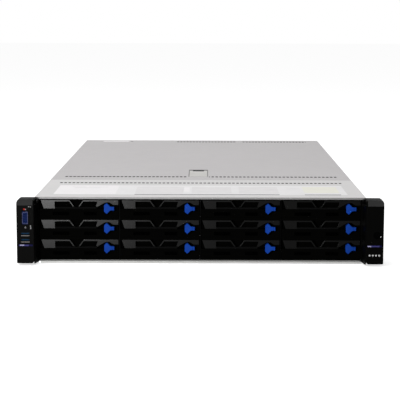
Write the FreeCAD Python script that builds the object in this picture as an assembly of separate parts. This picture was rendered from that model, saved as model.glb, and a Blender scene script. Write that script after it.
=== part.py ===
"""Two-unit rack server with twelve front drive carriers. Millimetres, +Z up, front towards -Y.

The origin is at the centre of the overall footprint, on the underside of the chassis floor.
"""
import FreeCAD, Part
import math
import os

V = FreeCAD.Vector
os.makedirs("parts", exist_ok=True)

# Sheet metal and general clearances
steel = 1.2
cover_steel = 1.0
cover_flange = 12.0
cover_gap = 0.2
sliding_gap = 0.3
pin_gap = 0.1

# Drive bays
columns = 4
rows = 3
row_room = 1.1
side_room = 2.475
bay_floor = 2.9
divider = 1.0
drive_width = 101.6
drive_length = 147.0
drive_height = 25.6
bezel_depth = 18.0
bezel_side_gap = 0.6
bezel_row_gap = 0.5
rail_thickness = 1.0
rail_height = 20.0
rail_lift = 3.0
runner_height = 1.1
runner_reach = 2.1
cage_front = 2.0
floor_lip = 10.0
floor_lip_height = 2.4
floor_lip_side = 1.6

# Overall sizes, as chains of the real pieces
bay_width = drive_width + 2 * side_room
bay_pitch = bay_width + divider
row_pitch = drive_height + row_room
cage_half = (columns * bay_pitch + divider) / 2
cage_room = 2.5
wall_in = cage_half + cage_room
wall_out = wall_in + steel
body_width = 2 * (wall_out + cover_gap + cover_steel)
ear_overlap = 1.9
ear_width = 22.7
ear_x0 = body_width / 2 - ear_overlap
rack_width = 2 * (ear_x0 + ear_width)
cage_top = bay_floor + rows * row_pitch + sliding_gap
cover_room = 1.7
cover_under = cage_top + divider + cover_room
body_height = cover_under + cover_steel
drive_end = bezel_depth + drive_length
backplane_at = drive_end + 5.0
seam = backplane_at + 12.6
fan_at = backplane_at + 62.0
fan_depth = 38.0
board_front = fan_at + fan_depth + 15.0
duct_start = board_front + 5.0
duct_length = 205.0
open_length = 106.0
psu_length = 185.0
psu_proud = 1.0
body_depth = duct_start + duct_length + open_length + psu_length - psu_proud
ear_projection = 27.5
handle_reach = 27.0
bezel_height = row_pitch - bezel_row_gap
bay_guide_end = drive_end - 5.0
cage_length = drive_end - 1.0
board_top_room = 7.2

# Carrier latch
latch_x = bay_width - 20.15
latch_drop = 3.9
latch_head_width = 8.4
latch_head_height = 14.6
latch_side = 8.6
latch_stem_width = 4.9
latch_length = 13.3
latch_depth = 7.3
latch_proud = 0.6
latch_travel = 3.0
latch_margin = 0.7

# Carrier lever
lever_height = 11.5
lever_depth = 7.5
lever_recess = 0.4
lever_end = bay_width - 1.05
lever_slant = 3.9
lever_arm_height = 6.4
lever_arm_gap = 0.3
lever_left = 2.1
hinge_x = 6.3
hinge_y = 4.3
hinge_pin_radius = 1.2
hinge_end_radius = 4.15
hinge_sides = 8
lever_rim = 2.0
lever_bottom_bar = 1.9
window_left = 20.8
window_right = latch_x - 9.0
window_slant = 2.4
latch_shoulder = latch_x - 9.2
vee_width = 18.0
vee_flat = 3.4
vee_centre = (window_left + window_right) / 2 + 0.4
vee_arm = 2.0

# Carrier bezel
lip_drop = 14.2
lip_set_back = 1.0
vent_drop = 15.8
vent_height = 4.6
vent_depth = 10.0
vents = ((18.0, vee_centre - 9.7), (vee_centre + 10.1, latch_x - 10.0))
sill_height = 3.4

# Top covers
cover_travel = 15.0
cover_front_flange = 2.5
slot_width = 3.3
slot_length = 7.0
slot_pitch = 5.9
slot_margin = 19.5
slot_count = int((body_width - 2 * slot_margin) / slot_pitch) + 1
front_slots_at = seam - 34.1
rear_cover_slots_at = seam + 37.9
rear_slots_at = body_depth - 28.0
rear_slots_from = -45.0
rear_slots_count = int((body_width / 2 - 21.0 - rear_slots_from) / slot_pitch)
rear_slots_skipped = (19, 20)

# Cover latch
cover_latch_x = -4.0
cover_latch_width = 27.0
cover_latch_length = 84.0
cover_latch_start = seam + 41.4
cover_latch_thickness = 2.6
cover_latch_pin = 1.0
cover_latch_pivot_in = 1.9
cover_latch_bevel = 1.0
cover_latch_grip = 12.0
pan_depth = 4.2
pan_wall = 1.0

# Ears
ear_height = body_height - 2.3
ear_unit = body_height / 87.0
ear_gap = 0.6
ear_pad = 1.0
ear_bevel = 2.3
ear_top_bevel = 1.5
ear_chamfer_height = 7.5
ear_chamfer_depth = 2.5
ear_corner = 3.6
ear_plate_length = 45.0
ear_plate_margin = 6.0
ear_flange = 2.0
ear_flange_cover = 1.2
vga_size = (8.0, 17.2)
vga_centre_drop = 24.1 * ear_unit
usb_size = (12.6, 5.6)
usb_drops = (46.0 * ear_unit, 54.4 * ear_unit)
socket_depth = 9.0
trim_height = 2.4
trim_drop = 60.5 * ear_unit
trim_depth = 1.5
light_drop = 72.8 * ear_unit
upper_light_drop = 12.5 * ear_unit
light_radius = 1.3
light_sides = 8
light_pitch = 4.2
light_count = 4
button_radius = 4.5
button_sides = 16
button_offset = 2.65
button_drop = 46.3 * ear_unit
button_depth = 5.0
button_proud = 0.5
button_travel = 1.5
button_gap = 0.25

# Fans
fan_room = 4.8
fan_size = cover_under - steel - fan_room
fan_count = 4
fan_side_room = 20.6
fan_pitch = (2 * (wall_in - fan_side_room) - fan_size) / (fan_count - 1)
fan_bore = fan_size / 2 - 2.0
fan_hub_radius = fan_size * 0.2
fan_tip_gap = 0.7
fan_blades = 7
fan_blade_thickness = 1.6
fan_blade_angle = 35.0
fan_rotor_depth = 24.0
fan_motor_depth = 5.0
fan_strut = 4.0
fan_shaft_radius = 1.5
fan_sides = 12
fan_tip_radius = fan_bore * math.cos(math.pi / fan_sides) - fan_tip_gap
shaft_sides = 8

# Rear: supplies in their bay, then cards and sockets
psu_width = 73.5
psu_clearance = 0.4
psu_slots = 5
psu_shelf = 1.0
psu_top_room = 2.2
psu_height = (cover_under - steel - psu_top_room - psu_shelf - 4 * psu_clearance) / 2
psu_side_room = 7.85
psu_x0 = wall_in - psu_side_room - psu_width
psu_lower_z = steel + psu_clearance
psu_shelf_z = psu_lower_z + psu_height + psu_clearance
psu_upper_z = psu_shelf_z + psu_shelf + psu_clearance
psu_bay_start = body_depth - psu_length - 6.0
inlet_width = 27.0
inlet_height = 20.0
inlet_depth = 16.0
handle_bar = 5.0
handle_height = 30.0

# Boards and cooling
backplane_height = cover_under - steel - 6.8
backplane_width = 2 * (wall_in - 6.1)
board_thickness = 1.6
backplane_thickness = 2.4
drive_plug_gap = 0.3
standoff = 6.0
board_top = steel + standoff + board_thickness
board_step = psu_bay_start - 14.0
board_end = body_depth - 9.0
board_half_width = wall_in - 13.1
board_right_edge = psu_x0 - 11.75
post_size = 6.0
post_ys = (board_front + 10.0, board_front + 155.0, board_end - 16.0)
post_xs = (-board_half_width + 15.0, 0.0, board_right_edge - 15.0)
chipset_size = 40.0
chipset_height = 10.0
chipset_at = duct_start + duct_length + 45.0
processor_x = (board_half_width - 15.0) / 2
processor_at = board_front + 65.0
duct_sheet = 1.5
duct_height = cover_under - board_top - board_top_room
socket_height = 6.0
heatsink_width = processor_x - 17.0
heatsink_length = 108.0
heatsink_height = duct_height - socket_height - 6.0
heatsink_base = 5.0
heatsink_fins = 12
fin_thickness = 1.2
module_length = 133.0
module_height = 31.0
module_thickness = 2.6
modules_per_bank = 4
module_pitch = (processor_x - heatsink_width / 2 - 18.0) / modules_per_bank
module_socket_width = module_pitch - 1.2
module_socket_height = 7.0
module_at = board_front + 51.0

# Cards and sockets
riser_slots = 3
riser_floor = 27.0
slot_cover_width = 120.0
slot_cover_gap = 0.6
slot_cover_pitch = (cover_under - riser_floor - steel - 2.0) / riser_slots
slot_cover_height = slot_cover_pitch - slot_cover_gap
slot_cover_steel = 0.9
riser_left_edges = (-wall_in + 12.1, -wall_in + 12.1 + slot_cover_width + 8.0)
riser_length = 190.0
port_floor = board_top
port_window_height = 17.0
rj45_width = 16.0
rj45_height = 13.5
rj45_opening = (11.8, 7.4)
rj45_depth = 18.0
rj45_xs = (-110.0, -90.0, -60.0)
usb_rear_xs = (-30.0,)
vga_rear_x = 10.0
vent_rows = 3
vent_hole = 9.5
vent_pitch = 12.5
vent_columns = int((board_right_edge - riser_left_edges[1] - slot_cover_width - 5.0) / vent_pitch)

# Side studs for the slide rails
stud_radius = 3.0
stud_length = 5.0
stud_ys = (60.0, 330.0, body_depth - 165.0)
stud_z = body_height / 2

# Places worked out from the sizes above
y_front = ear_projection - (ear_projection + body_depth + handle_reach) / 2.0
y_rear = y_front + body_depth
drive_side = (bay_width - drive_width) / 2.0


def box(x0, x1, y0, y1, z0, z1):
    """Box from its limits, with y counted from the front plane of the body."""
    return Part.makeBox(x1 - x0, y1 - y0, z1 - z0, V(x0, y_front + y0, z0))


def prism_y(points, y0, y1):
    """Outline of x, z points pushed from y0 to y1."""
    corners = [V(x, y_front + y0, z) for x, z in points]
    return Part.Face(Part.makePolygon(corners + corners[:1])).extrude(V(0, y1 - y0, 0))


def prism_z(points, z0, z1):
    """Outline of x, y points pushed from z0 to z1."""
    corners = [V(x, y_front + y, z0) for x, y in points]
    return Part.Face(Part.makePolygon(corners + corners[:1])).extrude(V(0, 0, z1 - z0))


def prism_x(points, x0, x1):
    """Outline of y, z points pushed from x0 to x1."""
    corners = [V(x0, y_front + y, z) for y, z in points]
    return Part.Face(Part.makePolygon(corners + corners[:1])).extrude(V(x1 - x0, 0, 0))


def ring(first, second, radius, sides):
    """Corners of a regular outline about a centre; small round pieces are drawn with flats."""
    turns = [2 * math.pi * index / sides for index in range(sides)]
    return [(first + radius * math.cos(turn), second + radius * math.sin(turn)) for turn in turns]


def rod_y(x, z, radius, y0, y1, sides=12):
    return prism_y(ring(x, z, radius, sides), y0, y1)


def rod_z(x, y, radius, z0, z1, sides=12):
    return prism_z(ring(x, y, radius, sides), z0, z1)


def trunnion(y, z, radius, x0, x1, sides=12):
    return prism_x(ring(y, z, radius, sides), x0, x1)


def round_rod_x(y, z, radius, x0, x1):
    """True cylinder along x."""
    return Part.makeCylinder(radius, x1 - x0, V(x0, y_front + y, z), V(1, 0, 0))


def bore_radius(radius, sides):
    """Radius of a bore with flats that clears a pin of the given radius at every angle."""
    return (radius + pin_gap) / math.cos(math.pi / sides)


def fuse(pieces):
    return pieces[0].fuse(pieces[1:]).removeSplitter()


def mirror_x(shape):
    return shape.mirror(V(0, 0, 0), V(1, 0, 0))


def save(name, shapes):
    """Write one node: a single solid or a group of separate solids."""
    group = shapes if isinstance(shapes, list) else [shapes]
    solids = [solid for shape in group for solid in shape.Solids]
    shape = solids[0] if len(solids) == 1 else Part.makeCompound(solids)
    shape.exportStep("parts/" + name + ".step")


def pierced_sheet(outline, holes, z0, z1):
    """Flat sheet with rectangular holes; outline and holes are x0, x1, y0, y1."""
    wires = []
    for x0, x1, y0, y1 in [outline] + holes:
        corners = [V(x, y_front + y, z0) for x, y in ((x0, y0), (x1, y0), (x1, y1), (x0, y1))]
        wires.append(Part.makePolygon(corners + corners[:1]))
    return Part.makeFace(wires, "Part::FaceMakerBullseye").extrude(V(0, 0, z1 - z0))


def slot_row(first_x, count, y, skipped=()):
    """Row of small slots across a cover, as x0, x1, y0, y1."""
    row = []
    for index in range(count):
        if index in skipped:
            continue
        x = first_x + index * slot_pitch
        row.append((x - slot_width / 2, x + slot_width / 2, y - slot_length / 2, y + slot_length / 2))
    return row


def chassis_base():
    """Folded floor with its front lip, the two side walls and the studs for the rails."""
    half = wall_out
    end = body_depth - steel
    floor = box(-half, half, 0, end, 0, steel)
    lip_half = cage_half - floor_lip_side
    lip = box(-lip_half, lip_half, -floor_lip, 0, 0, floor_lip_height)
    left = box(-half, -wall_in, 0, end, steel, cover_under)
    right = box(wall_in, half, 0, end, steel, cover_under)
    return [fuse([floor, lip, left, right])] + rail_studs()


def rear_panel():
    """Rear wall of the chassis with its cut-outs."""
    wall = box(-wall_out, wall_out, body_depth - steel, body_depth, 0, cover_under)
    return wall.cut(rear_cut_outs())


def supply_bay():
    """Inner wall and shelf that part the two supplies from each other and from the board."""
    wall_x = psu_x0 - psu_clearance
    end = body_depth - steel
    top = psu_upper_z + psu_height + psu_clearance
    wall = box(wall_x - psu_shelf, wall_x, psu_bay_start, end, steel, top)
    shelf = box(wall_x, wall_in, psu_bay_start, end, psu_shelf_z, psu_shelf_z + psu_shelf)
    return fuse([wall, shelf])


def rear_cut_outs():
    """Openings of the rear wall: two supplies, slot covers, ports and vents."""
    y0 = body_depth - steel - 1.0
    y1 = body_depth + 1.0
    cuts = []
    for z in (psu_lower_z, psu_upper_z):
        cuts.append(box(psu_x0 - psu_clearance, psu_x0 + psu_width + psu_clearance, y0, y1,
                        z - psu_clearance, z + psu_height + psu_clearance))
    for x in riser_left_edges:
        top = riser_floor + riser_slots * slot_cover_pitch - slot_cover_gap
        cuts.append(box(x + 3.0, x + slot_cover_width - 3.0, y0, y1, riser_floor, top))
    first_port = min(rj45_xs) - rj45_width / 2 - 1.0
    cuts.append(box(first_port, vga_rear_x + 17.0, y0, y1,
                    port_floor - 0.6, port_floor + port_window_height - 2.0))
    first_x = board_right_edge - vent_columns * vent_pitch
    for column in range(vent_columns):
        for row in range(vent_rows):
            x = first_x + column * vent_pitch
            z = riser_floor + 10.0 + row * vent_pitch
            cuts.append(box(x, x + vent_hole, y0, y1, z, z + vent_hole))
    return Part.makeCompound(cuts)


def rail_studs():
    """Round studs on the side walls that carry the slide rails."""
    studs = []
    for y in stud_ys:
        studs.append(round_rod_x(y, stud_z, stud_radius, wall_out, wall_out + stud_length))
        studs.append(round_rod_x(y, stud_z, stud_radius, -wall_out - stud_length, -wall_out))
    return studs


def bay_x(column):
    return -cage_half + divider + column * bay_pitch


def bay_z(row):
    return bay_floor + row * row_pitch


def drive_cage():
    """Five upright dividers with runner ridges under a top plate."""
    start = cage_front
    end = cage_front + cage_length
    pieces = [box(-wall_in, wall_in, start, end, cage_top, cage_top + divider)]
    for column in range(columns + 1):
        x = -cage_half + column * bay_pitch
        pieces.append(box(x, x + divider, start, end, steel, cage_top))
    ridge_start = bezel_depth + 1.0
    for column in range(columns):
        for row in range(rows):
            x = bay_x(column)
            top = bay_z(row) + rail_lift - sliding_gap
            low = top - runner_height
            pieces.append(box(x, x + runner_reach, ridge_start, bay_guide_end, low, top))
            right = x + bay_width
            pieces.append(box(right - runner_reach, right, ridge_start, bay_guide_end, low, top))
    return fuse(pieces)


def latch_outline(margin, travel):
    """Arrow shape of the carrier latch as x, drop points, grown by a margin and swept by a travel."""
    left = latch_x - margin
    tip = latch_drop - margin
    bottom = latch_drop + latch_head_height + margin
    middle = latch_drop + latch_head_height / 2
    side = latch_side / 2 + margin * 0.6
    stem = latch_stem_width / 2 + margin
    peak = latch_x + latch_head_width * 0.42
    neck = latch_x + latch_head_width + travel + margin * 0.4
    end = latch_x + latch_length + travel + margin
    upper = [(left, middle - side), (peak, tip), (peak + travel, tip), (neck, middle - stem)]
    lower = [(neck, middle + stem), (peak + travel, bottom), (peak, bottom), (left, middle + side)]
    if travel == 0:
        upper.pop(2)
        lower.pop(1)
    return upper + [(end, middle - stem), (end, middle + stem)] + lower


def placed(points, column, row):
    """Turn x, drop points of one bay into x, z points of the body."""
    top = bay_z(row) + bezel_row_gap / 2 + bezel_height
    return [(bay_x(column) + x, top - drop) for x, drop in points]


def carrier_bezel(column, row):
    """Moulded face of a carrier: lower face with lip and vents, lever pocket and latch pocket."""
    x0 = bay_x(column) + bezel_side_gap
    x1 = bay_x(column) + bay_width - bezel_side_gap
    z0 = bay_z(row) + bezel_row_gap / 2
    top = z0 + bezel_height
    lever_floor = top - lever_height - sliding_gap
    body = box(x0, x1, 0, bezel_depth, z0, top)
    pocket_back = hinge_y + hinge_end_radius + sliding_gap
    pocket = box(x0 - 1.0, bay_x(column) + latch_x + 1.0, -1.0, pocket_back, lever_floor, top + 1.0)
    arm_pocket = box(bay_x(column) + latch_x, x1 + 1.0, -1.0, pocket_back,
                     top - lever_arm_height - sliding_gap, top + 1.0)
    face = box(x0 - 1.0, bay_x(column) + latch_x - 2.0, -1.0, lip_set_back, z0 + sill_height, top - lip_drop)
    cuts = [pocket, arm_pocket, face]
    for left, right in vents:
        low = top - vent_drop - vent_height
        cuts.append(box(bay_x(column) + left, bay_x(column) + right, -1.0, vent_depth, low, top - vent_drop))
    outline = placed(latch_outline(latch_margin, latch_travel), column, row)
    cuts.append(prism_y(outline, -1.0, latch_depth - latch_proud + sliding_gap))
    return body.cut(Part.makeCompound(cuts))


def carrier_tray(column, row):
    """Bezel with the two side rails, rear bar, lever pin and the drive that they hold."""
    x0 = bay_x(column) + drive_side
    z0 = bay_z(row)
    rails = []
    for x in (x0 - rail_thickness, x0 + drive_width):
        rails.append(box(x, x + rail_thickness, bezel_depth - 4.0, drive_end + rail_thickness,
                         z0 + rail_lift, z0 + rail_lift + rail_height))
    bar = box(x0 - rail_thickness, x0 + drive_width + rail_thickness, drive_end, drive_end + rail_thickness,
              z0 + rail_lift, z0 + rail_lift + 6.0)
    frame = fuse([carrier_bezel(column, row), bar] + rails)
    top = z0 + bezel_row_gap / 2 + bezel_height
    pin = rod_z(bay_x(column) + hinge_x, hinge_y, hinge_pin_radius,
                top - lever_height - sliding_gap, top - lever_rim, hinge_sides)
    return [frame, pin, hard_drive(x0, z0 + (row_pitch - drive_height) / 2)]


def hard_drive(x0, z0):
    """Casting with an inset lid."""
    y0 = bezel_depth
    y1 = bezel_depth + drive_length
    lid = 0.8
    inset = 2.5
    casting = box(x0, x0 + drive_width, y0, y1, z0, z0 + drive_height - lid)
    cover = box(x0 + inset, x0 + drive_width - inset, y0 + inset, y1 - 12.0,
                z0 + drive_height - lid, z0 + drive_height)
    return fuse([casting, cover])


def carrier_lever(column, row):
    """Swinging lever: solid hinge block, two windows and a V-shaped web between them."""
    low = lever_height
    window_low = lever_height - lever_bottom_bar
    vee_left = vee_centre - vee_width / 2
    vee_right = vee_centre + vee_width / 2
    gap = lever_arm_gap
    peak = latch_x + latch_head_width * 0.42
    over_latch = latch_drop - latch_margin - gap
    arm_start = latch_x + latch_head_width + latch_travel + latch_margin * 0.4 + gap
    outline = [(lever_left, 0), (vee_left, 0), (vee_centre - vee_flat / 2, window_low + 0.4),
               (vee_centre + vee_flat / 2, window_low + 0.4), (vee_right, 0), (lever_end, 0),
               (lever_end, lever_arm_height), (arm_start, lever_arm_height),
               (peak + latch_travel + gap, over_latch), (peak - gap, over_latch),
               (latch_x - gap, over_latch + 1.3), (latch_shoulder, window_low - 0.2),
               (latch_shoulder - 1.2, low), (lever_left + lever_slant, low)]
    slope = (vee_width - vee_flat) / 2 / (window_low + 0.4)
    left_top = vee_left - vee_arm + slope * lever_rim
    left_low = vee_left - vee_arm + slope * window_low
    right_top = vee_right + vee_arm - slope * lever_rim
    right_low = vee_right + vee_arm - slope * window_low
    left_window = [(window_left, lever_rim), (left_top, lever_rim), (left_low, window_low),
                   (window_left, window_low)]
    right_window = [(right_top, lever_rim), (window_right, lever_rim),
                    (window_right - window_slant, window_low), (right_low, window_low)]
    y0 = lever_recess
    y1 = lever_recess + lever_depth
    solid = prism_y(placed(outline, column, row), y0, y1)
    for window in (left_window, right_window):
        solid = solid.cut(prism_y(placed(window, column, row), y0 - 1.0, y1 + 1.0))
    solid = solid.common(lever_plan(column, row, y0, y1))
    x = bay_x(column) + hinge_x
    top = bay_z(row) + bezel_row_gap / 2 + bezel_height
    bore = rod_z(x, hinge_y, bore_radius(hinge_pin_radius, hinge_sides), top - lever_height - 1.0,
                 top - lever_rim + sliding_gap, hinge_sides)
    return solid.cut(bore)


def lever_plan(column, row, y0, y1):
    """Plan of the lever: square at the front, rounded by flats behind its pin."""
    x = bay_x(column)
    centre = x + hinge_x
    plan = [(x + lever_end, y0), (x + lever_end, y1), (centre, y1)]
    for angle, share in ((135, 0.9), (165, 0.99)):
        turn = math.radians(angle)
        reach = hinge_end_radius * share
        plan.append((centre + reach * math.cos(turn), hinge_y + reach * math.sin(turn)))
    plan += [(x + lever_left, hinge_y), (x + lever_left, y0)]
    return prism_z(plan, bay_z(row) - 1.0, bay_z(row) + row_pitch + 1.0)


def carrier_latch(column, row):
    """Arrow-shaped sliding latch with a finger groove across its stem."""
    outline = placed(latch_outline(0.0, 0.0), column, row)
    solid = prism_y(outline, -latch_proud, latch_depth - latch_proud)
    top = bay_z(row) + bezel_row_gap / 2 + bezel_height
    middle = top - latch_drop - latch_head_height / 2
    x = bay_x(column) + latch_x + latch_length - 3.0
    groove = box(x, x + 1.0, -latch_proud - 1.0, -latch_proud + 0.6, middle - 4.0, middle + 4.0)
    return solid.cut(groove)


def flanges(y0, y1):
    """Pair of side flanges of a top cover."""
    outer = body_width / 2
    inner = outer - cover_steel
    low = body_height - cover_flange
    return [box(-outer, -inner, y0, y1, low, cover_under), box(inner, outer, y0, y1, low, cover_under)]


def front_top_cover():
    """Fixed cover over the drive bays with a row of slots and a short front flange."""
    half = body_width / 2
    end = seam - sliding_gap
    first = -(slot_count - 1) * slot_pitch / 2
    top = pierced_sheet((-half, half, 0, end), slot_row(first, slot_count, front_slots_at),
                        cover_under, body_height)
    nose = box(cover_gap - wall_in, wall_in - cover_gap, 0, cover_steel,
               body_height - cover_front_flange, cover_under)
    return fuse([top, nose] + flanges(cover_steel, end))


def rear_top_cover():
    """Sliding cover with two rows of slots and the sunk pan that holds the cover latch."""
    half = body_width / 2
    first = -(slot_count - 1) * slot_pitch / 2
    pan_x0 = cover_latch_x - cover_latch_width / 2 - sliding_gap
    pan_x1 = cover_latch_x + cover_latch_width / 2 + sliding_gap
    pan_y0 = cover_latch_start - 2 * sliding_gap
    pan_y1 = cover_latch_start + cover_latch_length + sliding_gap
    holes = []
    for hole in slot_row(first, slot_count, rear_cover_slots_at):
        if hole[1] < pan_x0 - 2 * pan_wall or hole[0] > pan_x1 + 2 * pan_wall:
            holes.append(hole)
    holes += slot_row(rear_slots_from, rear_slots_count, rear_slots_at, rear_slots_skipped)
    holes.append((pan_x0, pan_x1, pan_y0, pan_y1))
    top = pierced_sheet((-half, half, seam, body_depth), holes, cover_under, body_height)
    tray = box(pan_x0 - pan_wall, pan_x1 + pan_wall, pan_y0 - pan_wall, pan_y1 + pan_wall,
               body_height - pan_depth - pan_wall, cover_under)
    hollow = box(pan_x0, pan_x1, pan_y0, pan_y1, body_height - pan_depth, body_height)
    pan = tray.cut(hollow)
    y = cover_latch_start + cover_latch_pivot_in
    z = cover_latch_pivot_z()
    bores = trunnion(y, z, bore_radius(cover_latch_pin, 12), pan_x0 - pan_wall, pan_x1 + pan_wall)
    return fuse([top, pan.cut(bores)] + flanges(seam, body_depth))


def cover_latch_pivot_z():
    return cover_under - bore_radius(cover_latch_pin, 12)


def cover_latch():
    """Flat lever in the pan, on two trunnions, with a finger hole at its free end."""
    x0 = cover_latch_x - cover_latch_width / 2
    x1 = cover_latch_x + cover_latch_width / 2
    y0 = cover_latch_start
    y1 = cover_latch_start + cover_latch_length
    plate = box(x0, x1, y0, y1, body_height - cover_latch_thickness, body_height)
    grip = box(x0 + 5.0, x1 - 5.0, y1 - 6.0 - cover_latch_grip, y1 - 6.0,
               body_height - cover_latch_thickness - 1.0, body_height + 1.0)
    pin = trunnion(y0 + cover_latch_pivot_in, cover_latch_pivot_z(), cover_latch_pin,
                   x0 - sliding_gap - pan_wall, x1 + sliding_gap + pan_wall)
    bevel = cover_latch_bevel
    corner = prism_x([(y0 - 1, body_height + 1), (y0 + bevel + 1, body_height + 1),
                      (y0 - 1, body_height - bevel - 1)], x0 - 1, x1 + 1)
    return fuse([plate.cut(grip).cut(corner), pin])


def ear_blank():
    """Right-hand ear without its openings: moulded block, rear pad, flange and side plate."""
    outer = ear_x0 + ear_width
    z0 = body_height - ear_height
    z1 = body_height
    front = -ear_projection
    corner = ear_corner
    outline = [(ear_x0, z0 + ear_bevel), (ear_x0 + ear_bevel, z0), (outer - 1.0, z0), (outer, z0 + 1.0),
               (outer, z1 - corner), (outer - corner * 0.3, z1 - corner * 0.3), (outer - corner, z1),
               (ear_x0 + ear_top_bevel, z1), (ear_x0, z1 - ear_top_bevel)]
    block = prism_y(outline, front, -ear_gap)
    back = front + ear_chamfer_depth
    slope = prism_x([(front - 1, z1 - ear_chamfer_height), (front, z1 - ear_chamfer_height),
                     (back, z1), (back, z1 + 1), (front - 1, z1 + 1)],
                    ear_x0 - 1, outer + 1)
    pad = box(body_width / 2 + ear_gap, outer, -ear_gap, ear_pad, z0 + corner, z1 - corner)
    flange = box(cage_half - ear_flange_cover, ear_x0 + 0.7, -ear_flange, 0, 0.5,
                 cover_under - cover_front_flange + 1.0)
    plate = box(wall_out, wall_out + steel, -ear_gap, ear_plate_length, z0 + ear_plate_margin,
                body_height - cover_flange - ear_plate_margin)
    return fuse([block.cut(slope), pad, flange, plate])


def ear_centre():
    return ear_x0 + ear_width / 2


def button_x():
    return ear_centre() + button_offset


def left_ear():
    """Ear with pockets for a video socket, two serial sockets, the trim bar and a light."""
    ear = mirror_x(ear_blank())
    x = -ear_centre()
    front = -ear_projection
    cuts = [socket_block(x, vga_centre_drop, vga_size, front - 1.0, front + socket_depth)]
    for drop in usb_drops:
        cuts.append(socket_block(x, drop, usb_size, front - 1.0, front + socket_depth))
    cuts.append(trim_bar(-1, front - 1.0))
    cuts.append(rod_y(x - 1.0, body_height - upper_light_drop, light_radius,
                      front - 1.0, front + 3.0, light_sides))
    return ear.cut(Part.makeCompound(cuts))


def right_ear():
    """Ear with the power button's well, the trim bar's groove and four light holes."""
    front = -ear_projection
    z = body_height - button_drop
    cuts = [rod_y(button_x(), z, button_radius + button_gap, front - 1.0,
                  front + button_depth + button_travel + sliding_gap, button_sides)]
    cuts.append(trim_bar(1, front - 1.0))
    for x in light_xs():
        cuts.append(rod_y(x, body_height - light_drop, light_radius, front - 1.0, front + 3.0, light_sides))
    return ear_blank().cut(Part.makeCompound(cuts))


def socket_block(x, drop, size, y0, y1):
    z = body_height - drop
    return box(x - size[0] / 2, x + size[0] / 2, y0, y1, z - size[1] / 2, z + size[1] / 2)


def trim_bar(side, y0):
    """Coloured bar across an ear; side is 1 on the right and -1 on the left."""
    z = body_height - trim_drop
    inner = ear_x0 + 1.5
    outer = ear_x0 + ear_width - 2.5
    x0 = min(side * inner, side * outer)
    x1 = max(side * inner, side * outer)
    return box(x0, x1, y0, -ear_projection + trim_depth, z - trim_height / 2, z + trim_height / 2)


def light_xs():
    first = ear_centre() - (light_count - 1) * light_pitch / 2 - 0.5
    return [first + index * light_pitch for index in range(light_count)]


def light_pipes():
    """Trim bars and the small round light guides, flush with the ears."""
    front = -ear_projection
    pieces = [trim_bar(1, front), trim_bar(-1, front)]
    for x in light_xs():
        pieces.append(rod_y(x, body_height - light_drop, light_radius, front + 0.2, front + 3.0, light_sides))
    pieces.append(rod_y(-ear_centre() - 1.0, body_height - upper_light_drop, light_radius,
                        front + 0.4, front + 3.0, light_sides))
    return pieces


def power_button():
    z = body_height - button_drop
    front = -ear_projection
    cap = rod_y(button_x(), z, button_radius, front - button_proud, front + button_depth, button_sides)
    dish = rod_y(button_x(), z, button_radius - 1.2, front - button_proud - 1.0, front - button_proud + 0.3,
                 button_sides)
    return cap.cut(dish)


def usb_shell(x, z, y_open, direction, depth):
    """Steel shell of a serial socket with its tongue; direction is +1 when it opens towards -Y."""
    wide, high = usb_size
    wall = 0.5
    y0 = min(y_open, y_open + direction * depth)
    y1 = max(y_open, y_open + direction * depth)
    shell = box(x - wide / 2, x + wide / 2, y0, y1, z - high / 2, z + high / 2)
    inner_y0 = y0 - 1.0 if direction > 0 else y0 + 1.0
    inner_y1 = y1 - 1.0 if direction > 0 else y1 + 1.0
    shell = shell.cut(box(x - wide / 2 + wall, x + wide / 2 - wall, inner_y0, inner_y1,
                          z - high / 2 + wall, z + high / 2 - wall))
    tongue_y0 = y0 + 1.2 if direction > 0 else y0 + 1.0
    tongue_y1 = y1 - 1.0 if direction > 0 else y1 - 1.2
    tongue = box(x - wide / 2 + 1.2, x + wide / 2 - 1.2, tongue_y0, tongue_y1, z + 0.2, z + 1.9)
    return [shell, tongue]


def vga_shell(x, z, y_open, direction, upright):
    """Video socket: flange block with a tapered plug face."""
    wide, high = (vga_size if upright else (vga_size[1], vga_size[0]))
    y1 = y_open + direction * (socket_depth - 1.0)
    plate = box(x - wide / 2, x + wide / 2, min(y_open + direction, y1), max(y_open + direction, y1),
                z - high / 2, z + high / 2)
    inset = 1.2
    half_x = wide / 2 - inset
    half_z = high / 2 - inset
    if upright:
        points = [(x - half_x, z - half_z + inset), (x + half_x, z - half_z),
                  (x + half_x, z + half_z), (x - half_x, z + half_z - inset)]
    else:
        points = [(x - half_x + inset, z - half_z), (x + half_x - inset, z - half_z),
                  (x + half_x, z + half_z), (x - half_x, z + half_z)]
    nose = prism_y(points, min(y_open, y_open + direction), max(y_open, y_open + direction))
    return fuse([plate, nose])


def front_ports():
    """Video socket and two serial sockets of the left ear."""
    front = -ear_projection
    x = -ear_centre()
    pieces = [vga_shell(x, body_height - vga_centre_drop, front, 1, True)]
    for drop in usb_drops:
        pieces += usb_shell(x, body_height - drop, front, 1, socket_depth)
    return pieces


def rear_ports():
    """Network, serial and video sockets that stand on the board behind the port window."""
    pieces = []
    y1 = body_depth + 0.5
    for x in rj45_xs:
        body = box(x - rj45_width / 2, x + rj45_width / 2, y1 - rj45_depth, y1,
                   port_floor, port_floor + rj45_height)
        wide, high = rj45_opening
        hollow = box(x - wide / 2, x + wide / 2, y1 - rj45_depth + 3.0, y1 + 1.0,
                     port_floor + 2.4, port_floor + 2.4 + high)
        pieces.append(body.cut(hollow))
    for x in usb_rear_xs:
        pieces += usb_shell(x, port_floor + usb_size[1] / 2, y1, -1, rj45_depth)
    pieces.append(vga_shell(vga_rear_x, port_floor + vga_size[0] / 2, y1, -1, False))
    return pieces


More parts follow.
